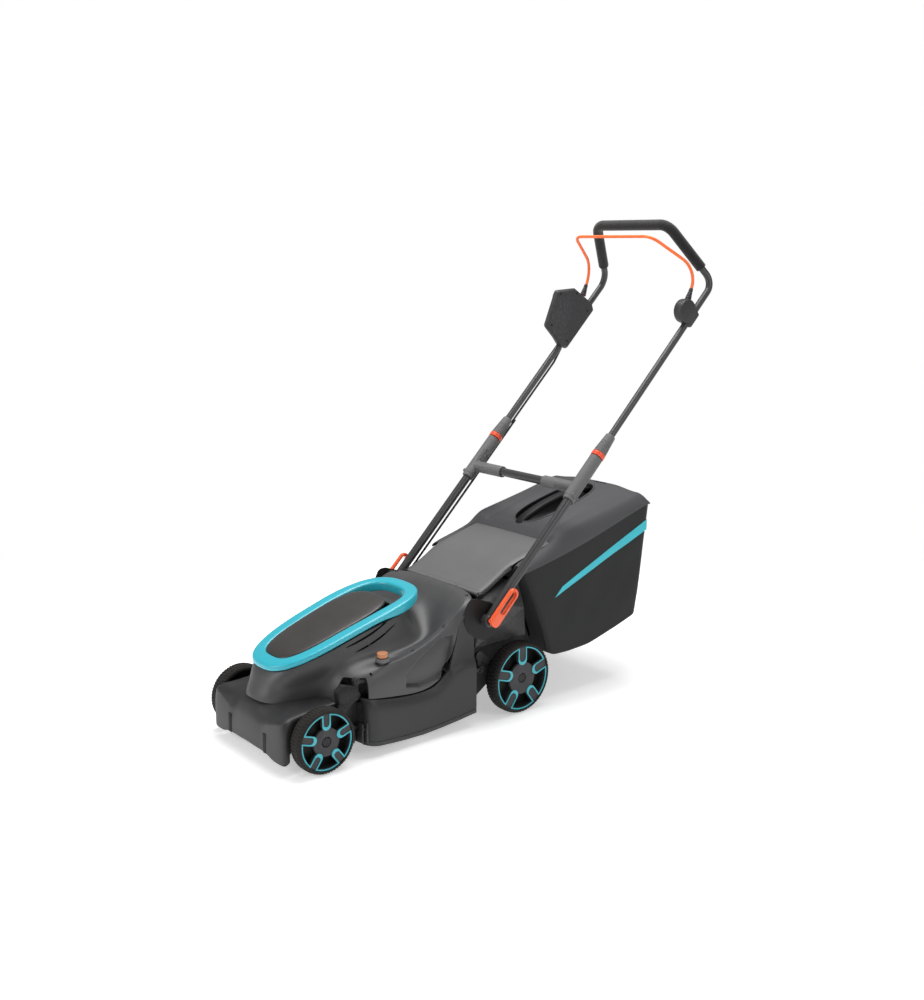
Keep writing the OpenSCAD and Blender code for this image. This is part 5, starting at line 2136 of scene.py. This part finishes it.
def on_tube(s: float, x: float = TUBE_X, up: float = 0.0) -> Vector:
    """Return a point beside the handle's tubes.

    Args:
        s: Distance along the tube from the fold pivot in millimetres.
        x: Distance from the middle.
        up: Distance in front of and above the tube's line.

    Returns:
        The point.
    """
    return at(x, PIVOT[0] + (s - up) * SLOPE, PIVOT[1] + (s + up) * SLOPE)


def turned(name: str, x: float, steps: Sequence[Pair], sides: int = 48) -> bpy.types.Object:
    """Turn a round shape on the tube's line.

    Args:
        name: Name of the new piece.
        x: Distance of the tube from the middle.
        steps: Pairs of the distance along the tube and the radius there.
        sides: Number of flats round it.

    Returns:
        The new piece.
    """
    return smooth(sweep(name, [on_tube(s, x) for s, _ in steps], [r for _, r in steps], sides),
                  32.0)


def other_side(points: Sequence[Vector]) -> list[Vector]:
    """Return the points mirrored across the mower's middle."""
    return [Vector((-p.x, p.y, p.z)) for p in points]


@dataclass
class LowerHandle(Assembly):
    """Fold pivots, lower tubes, the connectors with the cross tube, sleeves and orange rings."""

    tee_s: float = 404.0

    def build(self) -> None:
        """Make both sides and the cross tube."""
        for name, side in SIDES:
            self.ear(name, side)
            self.tube(name, side)
            self.tee(name, side)
            self.clamp(name, side)
            self.lever(name, side)
        middle = [on_tube(self.tee_s, x) for x in (-172, -84, 84, 172)]
        bar = sweep("cross_bar", middle, 11.0, 48)
        self.done(bar, "lower_handle", Finishes.TUBE, "tube", "cross_tube")

    def ear(self, name: str, side: int) -> None:
        """Make the dark rounded ear that carries the fold pivot.

        Args:
            name: Name of the new piece.
            side: 1 on the left, -1 on the right.
        """
        outer = [(398, 292), (410, 316), (432, 316), (474, 301), (503, 282), (514, 258), (509, 234),
                 (490, 214), (462, 207), (434, 216), (410, 236), (397, 262)]
        inner = [(437.5, 311), (474, 298), (500, 280), (510, 258), (505, 236), (488, 218),
                 (462, 211),
                 (437.5, 218)]
        face = plate(f"fold_ear_{name}", outer,
                     [(side * x, d) for x, d in ((182.4, 0.6), (183.0, 0.0), (183.4, 0.6),
                                                 (183.9, 2.4),
                                                 (184.2, 5.0))], 22.0)
        root = plate("root", inner, [(side * 172.4, 0.0), (side * 182.9, 0.0)], 8.0)
        pin = rod("pin", at(side * 183, *PIVOT), at(side * 207.5, *PIVOT), 4.9)
        hub = plate("hub", [(446, 248), (446, 272), (470, 272), (470, 248)],
                    [(side * x, d) for x, d in ((183.6, 0.0), (184.4, 0.6), (184.7, 2.0))], 11.0)
        ear = joined(face.name, [face, root, pin, hub])
        self.done(ear, "chassis", Finishes.INNER, "inner", f"bracket_{name}")

    def tube(self, name: str, side: int) -> None:
        """Make one lower tube with its flattened eye.

        Args:
            name: Name of the new piece.
            side: 1 on the left, -1 on the right.
        """
        tube = turned(f"lower_tube_{name}_skin", side * TUBE_X, [(0, 11), (12, 11), (380, 11),
                                                                 (501, 11)])
        eye = rod("eye", at(side * 185.2, *PIVOT), at(side * 206.8, *PIVOT), 14.0, sides=48)
        tube = joined(tube.name, [tube, bevelled(eye, 1.2, 50.0, 3)])
        self.done(smooth(tube, 40.0), "lower_handle", Finishes.TUBE, "tube", f"lower_tube_{name}")

    def tee(self, name: str, side: int) -> None:
        """Make one T-shaped connector with its collars and its screw boss.

        Args:
            name: Name of the new piece.
            side: 1 on the left, -1 on the right.
        """
        s = self.tee_s
        tee = self.melted(f"tee_{name}", f"tee_{name}_body", 1.5, 8)
        parts = [turned("collar", side * TUBE_X, [(s - 38, 12), (s - 38, 15.4), (s - 36.5, 16),
                                                  (s - 30, 16),
                                               (s - 28.5, 15.4), (s - 28.5, 12)])]
        ends = [on_tube(s, side * x) for x in (91, 91, 89.5, 82, 80.5, 80.5)]
        parts.append(sweep("collar", ends, [11.2, 15.2, 15.9, 15.9, 15.2, 11.2], 48))
        parts.append(rod("boss", on_tube(s - 24, side * 203, 8), on_tube(s - 24, side * 213.5, 8),
                         5.2))
        parts.append(rod("boss", on_tube(s - 24, side * 210, -8), on_tube(s - 24, side * 213, -8),
                         3.4))
        tee = joined(tee.name, [tee, *parts])
        self.done(smooth(tee, 45.0), "lower_handle", Finishes.JOINT, "joint_plastic", f"tee_{name}")

    def clamp(self, name: str, side: int) -> None:
        """Make one telescope clamp: a grooved orange ring and a ribbed sleeve.

        Args:
            name: Name of the new piece.
            side: 1 on the left, -1 on the right.
        """
        ring = turned(f"clamp_ring_{name}_band", side * TUBE_X,
                      [(502, 9.1), (502, 17), (502.8, 17.8), (506.2, 18), (507, 17.3), (508, 17.3),
                       (508.8, 18), (513, 17.8), (513.9, 17), (513.9, 9.1)])
        self.done(ring, f"clamp_{name}", Finishes.CLAMP, "orange", f"clamp_ring_{name}")
        steps = [(514.6, 9.1), (514.6, 16.2), (515.4, 17)]
        for k in range(7):
            s = 519 + 4.4 * k
            size = 17 - 0.38 * k
            steps += [(s, size), (s + 0.7, size - 0.7), (s + 1.6, size - 0.7),
                      (s + 2.3, size - 0.05)]
        steps += [(552, 14.2), (566, 13.2), (569.5, 12.6), (570.4, 11.8), (570.4, 9.1)]
        sleeve = turned(f"clamp_sleeve_{name}_grip", side * TUBE_X, steps)
        self.done(sleeve, f"clamp_{name}", Finishes.JOINT, "joint_plastic", f"clamp_sleeve_{name}")

    def lever(self, name: str, side: int) -> None:
        """Make one quick-release lever: a slotted loop on a cam barrel.

        Args:
            name: Name of the new piece.
            side: 1 on the left, -1 on the right.
        """

        def stadium(start: float, end: float, low: float, high: float) -> list[Pair]:
            """Return a long rounded outline along the tube's line, as y and z.

            Args:
                start: Where it begins along the tube.
                end: Where it ends.
                low: Radius of its first end.
                high: Radius of its last end.

            Returns:
                The outline's corners.
            """
            found = []
            for k in range(17):
                t = math.pi / 2 + math.pi * k / 16
                found.append((start + low * math.cos(t), low * math.sin(t)))
            for k in range(17):
                t = -math.pi / 2 + math.pi * k / 16
                found.append((end + high * math.cos(t), high * math.sin(t)))
            return [(PIVOT[0] + (s - n) * SLOPE, PIVOT[1] + (s + n) * SLOPE) for s, n in found]

        loop = plate(f"lever_{name}_loop", stadium(6, 84, 15.5, 14.5),
                     [(side * x, d) for x, d in ((214.4, 2.0), (215.4, 0.6), (216.4, 0.0),
                                                 (221.5, 0.0),
                                                 (223.6, 0.7), (224.8, 2.2), (225.2, 4.0))])
        cut_away(loop, plate("slot", stadium(33, 82, 8.2, 8.2), [(side * 205, 0.0),
                                                                 (side * 235, 0.0)]))
        barrel = rod("barrel", on_tube(0, side * 218.2, -12.5), on_tube(0, side * 218.2, 12.5), 6.9,
                     sides=40)
        loop = joined(loop.name, [loop, bevelled(barrel, 1.2, 50.0, 3)])
        self.done(smooth(loop, 40.0), f"release_{name}", Finishes.ORANGE, "orange", f"lever_{name}")


@dataclass
class UpperHandle(Assembly):
    """The telescoping bow with its foam grip, the start bail, switch box, pod and cables."""

    bend: Point = (196, 1233, 1035)
    bar: Point = (129, 1123.5, 1185)
    bend_r: float = 38.0
    pod: Pair = (1126, 966)

    def build(self) -> None:
        """Make the bow and everything on it."""
        self.bow()
        self.bail()
        self.switch_box()
        self.pivot_pod()
        self.cables()

    def bow(self) -> None:
        """Make the bent tube and the foam over its top."""
        low, bend, bar = on_tube(260), at(*self.bend), at(*self.bar)
        path = round_corners([low, bend, bar, *other_side((bar, bend, low))],
                             [0, *[self.bend_r] * 4, 0], 20)
        tube = sweep("upper_tube", path, 9.0, 48)
        self.done(tube, "handle_loop", Finishes.TUBE, "tube", "upper_handle")
        start = bend + (bar - bend).normalized() * 50 * MM
        ends = [start, bar, *other_side((bar, start))]
        path = round_corners(ends, [0, self.bend_r, self.bend_r, 0], 24)
        step = (bar - bend).normalized() * MM
        first = [start + step * k for k in (0, 0.4, 1.4, 3.0, 5.0)]
        sizes = [9.2, 11.8, 13.2, 13.8, 14.0]
        grip = sweep("foam_grip_sleeve", [*first, *path[1:-1], *other_side(first[::-1])],
                     [*sizes, *[14.0] * (len(path) - 2), *reversed(sizes)], 48)
        self.done(smooth(grip, 60.0), "handle_loop", Finishes.FOAM, "foam", "foam_grip")

    def bail(self) -> None:
        """Make the start bail and the ribbed boots at its feet."""
        foot = at(193, *self.pod)
        knee, top = at(193, 1172, 1071), at(138.7, 1050.3, 1155)
        path = round_corners([foot, knee, top, *other_side((top, knee, foot))],
                             [0, 62, 36, 36, 62, 0], 22)
        parts = [sweep("bail_wire", path, 4.0, 28)]
        for side in (1, -1):
            parts.append(rod("stub", at(side * 181, *self.pod), at(side * 205, *self.pod), 5.9,
                             sides=32))
        wire = joined("bail_wire", parts)
        self.done(smooth(wire, 50.0), "bail_bar", Finishes.WIRE, "orange_wire", "bail")
        along = (knee - foot).normalized()
        for name, side in SIDES:
            steps = [(29, 4.1), (29, 8.4), (31, 8.8)]
            for k in range(5):
                d = 33 + 4.6 * k
                size = 8.4 - 0.62 * k
                steps += [(d, size), (d + 1, size - 0.9), (d + 2.2, size - 0.9),
                          (d + 3.2, size - 0.1)]
            steps += [(57, 5.4), (61, 5.0), (62, 4.1)]
            points = [foot + along * d * MM for d, _ in steps]
            points = [Vector((side * p.x, p.y, p.z)) for p in points]
            boot = sweep(f"bail_boot_{name}", points, [r for _, r in steps], 32)
            self.done(smooth(boot, 35.0), "bail_bar", Finishes.CABLE, "switchgear")

    def leg_slot(self, side: int) -> bpy.types.Object:
        """Make the cutter of the room that the bail's leg swings in.

        Args:
            side: 1 on the left, -1 on the right.

        Returns:
            The cutter.
        """
        y, z = self.pod
        outline = [(y - 7, z - 4), (y - 5, z + 4), (y + 12, z + 66), (y + 56, z + 56),
                   (y + 66, z + 36),
                   (y + 6, z - 6)]
        return plate("leg_slot", outline, [(side * 187.4, 0.0), (side * 198.6, 0.0)])

    def switch_box(self) -> None:
        """Make the switch box with its bevelled edge, its screws and the button's well."""
        outline = [(1024, 1010), (1095, 1014), (1162, 972), (1170, 950), (1066, 846), (1050, 852),
                   (1014, 884), (984, 914)]
        behind = [(1038, 1004), (1095, 1011), (1160, 971), (1168, 950), (1066, 848), (1054, 854),
                  (1030, 884), (1012, 914)]
        face = plate("face", outline, [(-190, 0.8), (-189, 0.0), (-184, 0.0), (-178.5, 3.0),
                                       (-176, 6.5)], 9.0)
        box = plate("switch_box_case", behind, [(-217, 9.0), (-216.4, 7.6), (-213.5, 4.6),
                                                (-208.5, 1.0), (-206, 0.0), (-188.5, 0.0)], 9.0)
        cut_away(face, self.leg_slot(-1))
        cut_away(box, self.leg_slot(-1))
        cut_away(box, rod("well", at(-230, 1040, 950), at(-192, 1040, 950), 9.4, sides=40))
        box = joined(box.name, [box, face])
        self.done(smooth(box, 30.0), "handle_loop", Finishes.SWITCH, "switchgear", "switch_box")
        heads = []
        for y, z in ((1058, 990), (1098, 992), (1138, 950), (1070, 872), (1034, 916)):
            heads.append(rod("head", at(-215, y, z), at(-217.3, y, z), 3.4, 3.0))
        for y, z in ((1036, 1000), (1098, 1000), (1140, 950), (1062, 868), (1003, 916)):
            heads.append(rod("head", at(-178, y, z), at(-175.6, y, z), 3.8, 3.4))
        self.done(joined("switch_box_screws", heads), "handle_loop", Finishes.DARK, "switchgear")
        button = rod("start_button_cap", at(-196, 1040, 950), at(-221, 1040, 950), 8.6, sides=48)
        bevelled(button, 1.4, 50.0, 3)
        self.done(smooth(button), "start_switch", Finishes.ORANGE, "orange", "start_button")

    def pivot_pod(self) -> None:
        """Make the round pod that carries the bail's left end."""
        y, z = self.pod
        disc = [(y + 31 * math.cos(2 * math.pi * k / 64), z + 31 * math.sin(2 * math.pi * k / 64))
                for k in range(64)]
        levels = [(181, 5.0), (182, 2.4), (184, 0.6), (186, 0.0), (203, 0.0), (206, 0.9),
                  (208, 2.6),
                  (208.6, 5.0)]
        pod = cut_away(plate("pod_disc", disc, levels), self.leg_slot(1))
        arm = plate("pod_arm", [(1137, 921), (1171, 955), (1150, 978), (1114, 944)],
                    [(182, 2.5), (184.5, 0.0), (205, 0.0), (207.5, 1.2), (208.2, 3.4)], 6.0)
        arm = cut_away(arm, self.leg_slot(1))
        pod = joined("pivot_pod_case", [pod, arm])
        self.done(smooth(pod, 35.0), "handle_loop", Finishes.SWITCH, "switchgear", "pivot_pod")

    def cables(self) -> None:
        """Lay the switch cable down the right-hand tube in its two held lengths."""
        for name, body, points in (
                ("cable_upper", "handle_loop", ((204, 575, -23), (204, 800, -23), (200, 842, -12))),
                ("cable_lower", "lower_handle", ((196, 34, -8), (196, 62, -22), (196, 586, -22)))):
            path = round_corners([on_tube(s, -x, n) for x, s, n in points], [0, 20, 0], 8)
            cable = sweep(f"{name}_jacket", path, 3.0, 20)
            self.done(cable, body, Finishes.CABLE, "cable", name)


ASSEMBLIES = (Hood, RingHandle, BatteryLid, Deck, RearFlap, GrassBox, Wheels, LowerHandle,
              UpperHandle)


# ------------------------------------------------------------------ frame pieces that stay


@dataclass
class KeptNodes:
    """CAD nodes whose own shape shows, each with the finish it is dressed in."""

    nodes: dict[str, bpy.types.Object]
    finishes: dict[str, Finishes] = field(default_factory=lambda: {
        "battery_bay": Finishes.INNER, "battery_packs": Finishes.PACK,
        "safety_key": Finishes.ORANGE,
        "motor": Finishes.MOTOR, "controller_box": Finishes.BOARD, "flap_hinge_pin": Finishes.AXLE,
        "blade": Finishes.STEEL, "blade_holder": Finishes.INNER, "blade_bolt": Finishes.ZINC,
        "motor_shaft": Finishes.STEEL, "front_axle": Finishes.AXLE, "rear_axle": Finishes.AXLE,
        "link_rod": Finishes.AXLE, "axle_nuts_front": Finishes.INNER,
        "axle_nuts_rear": Finishes.INNER})

    def dress(self) -> None:
        """Put the finish on every CAD node that is still shown."""
        for name, node in self.nodes.items():
            if node.hide_render:
                continue
            dress(node, self.finishes[name])
            log.info("kept %s as %s", name, self.finishes[name].value.name)


# ------------------------------------------------------------------ studio


@dataclass
class Studio:
    """Pale floor, soft lights and the camera."""

    floor_size: float = 60.0
    floor_colour: Colour = (0.93, 0.93, 0.93)
    floor_glow: float = 0.45
    fade_from: float = 0.9
    fade_to: float = 2.2
    room_light: float = 0.33
    camera_at: Point = (2.31435, -1.91201, 1.14258)
    azimuth: float = 50.91
    elevation: float = 11.97
    lens: float = 43.909
    sensor: float = 36.0

    def floor(self) -> bpy.types.Object:
        """Lay the floor just below the tyres.

        Returns:
            The floor.
        """
        clear_selection()
        bpy.ops.mesh.primitive_grid_add(x_subdivisions=4, y_subdivisions=4, size=self.floor_size)
        floor = bpy.context.object
        floor.name = "floor"
        floor.data.transform(Matrix.Translation((0, 0, -0.0002)))
        material = bpy.data.materials.new("pale_floor")
        material.use_nodes = True
        shader = material.node_tree.nodes["Principled BSDF"]
        shader.inputs["Base Color"].default_value = (*self.floor_colour, 1.0)
        shader.inputs["Roughness"].default_value = 0.6
        shader.inputs["Emission Color"].default_value = (*self.floor_colour, 1.0)
        shader.inputs["Emission Strength"].default_value = self.floor_glow
        self.fade_out(material.node_tree, shader)
        floor.data.materials.append(material)
        return floor

    def fade_out(self, tree: bpy.types.NodeTree, shader: bpy.types.Node) -> None:
        """Let the floor turn to plain white far from the machine.

        Args:
            tree: The floor material's nodes.
            shader: The floor's main shader.
        """
        place = tree.nodes.new("ShaderNodeTexCoord")
        length = tree.nodes.new("ShaderNodeVectorMath")
        length.operation = "LENGTH"
        share = tree.nodes.new("ShaderNodeMapRange")
        share.inputs["From Min"].default_value = self.fade_from
        share.inputs["From Max"].default_value = self.fade_to
        white = tree.nodes.new("ShaderNodeEmission")
        either = tree.nodes.new("ShaderNodeMixShader")
        tree.links.new(place.outputs["Object"], length.inputs[0])
        tree.links.new(length.outputs["Value"], share.inputs["Value"])
        tree.links.new(share.outputs["Result"], either.inputs[0])
        tree.links.new(shader.outputs[0], either.inputs[1])
        tree.links.new(white.outputs[0], either.inputs[2])
        tree.links.new(either.outputs[0], tree.nodes["Material Output"].inputs["Surface"])

    def lights(self) -> None:
        """Hang the soft boxes and set the even white surroundings."""
        world = bpy.data.worlds.new("studio")
        world.use_nodes = True
        back = world.node_tree.nodes["Background"]
        back.inputs["Color"].default_value = (1.0, 1.0, 1.0, 1.0)
        back.inputs["Strength"].default_value = self.room_light
        seen = world.node_tree.nodes.new("ShaderNodeBackground")
        path = world.node_tree.nodes.new("ShaderNodeLightPath")
        either = world.node_tree.nodes.new("ShaderNodeMixShader")
        links = world.node_tree.links
        links.new(path.outputs["Is Camera Ray"], either.inputs[0])
        links.new(back.outputs[0], either.inputs[1])
        links.new(seen.outputs[0], either.inputs[2])
        seen.inputs["Color"].default_value = (1.0, 1.0, 1.0, 1.0)
        links.new(either.outputs[0], world.node_tree.nodes["World Output"].inputs["Surface"])
        bpy.context.scene.world = world
        for name, place, aim, size, power in (
                ("top_box", (-0.3, 0.3, 3.0), (0, 0, 0.3), 2.0, 85.0),
                ("front_box", (-0.6, -3.2, 1.7), (0, 0, 0.35), 1.4, 38.0),
                ("side_box", (3.4, 0.6, 2.0), (0, 0.1, 0.4), 1.2, 24.0)):
            light = bpy.data.lights.new(name, "AREA")
            light.size = size
            light.energy = power
            lamp = bpy.data.objects.new(name, light)
            bpy.context.scene.collection.objects.link(lamp)
            lamp.location = place
            lamp.rotation_euler = (Vector(aim) - Vector(place)).to_track_quat("-Z", "Y").to_euler()

    def camera(self) -> bpy.types.Object:
        """Set up the camera and make it the scene's.

        Returns:
            The camera.
        """
        data = bpy.data.cameras.new("camera")
        data.lens = self.lens
        data.sensor_width = self.sensor
        data.clip_end = 200.0
        camera = bpy.data.objects.new("camera", data)
        bpy.context.scene.collection.objects.link(camera)
        camera.location = self.camera_at
        a, e = math.radians(self.azimuth), math.radians(self.elevation)
        back = Vector((math.sin(a) * math.cos(e), -math.cos(a) * math.cos(e), math.sin(e)))
        camera.rotation_euler = (-back).to_track_quat("-Z", "Y").to_euler()
        bpy.context.scene.camera = camera
        bpy.context.scene.view_settings.view_transform = "Standard"
        return camera


# ------------------------------------------------------------------ whole machine


def main() -> None:
    """Build the mower's pieces in order round the frame."""
    logging.basicConfig(level=logging.INFO, format="%(name)s: %(message)s", stream=sys.stdout)
    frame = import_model()
    studio = Studio()
    studio.camera()
    studio.floor()
    studio.lights()
    for part in ASSEMBLIES:
        part(frame["nodes"]).build()
    KeptNodes(frame["nodes"]).dress()


if __name__ == "__main__":
    main()
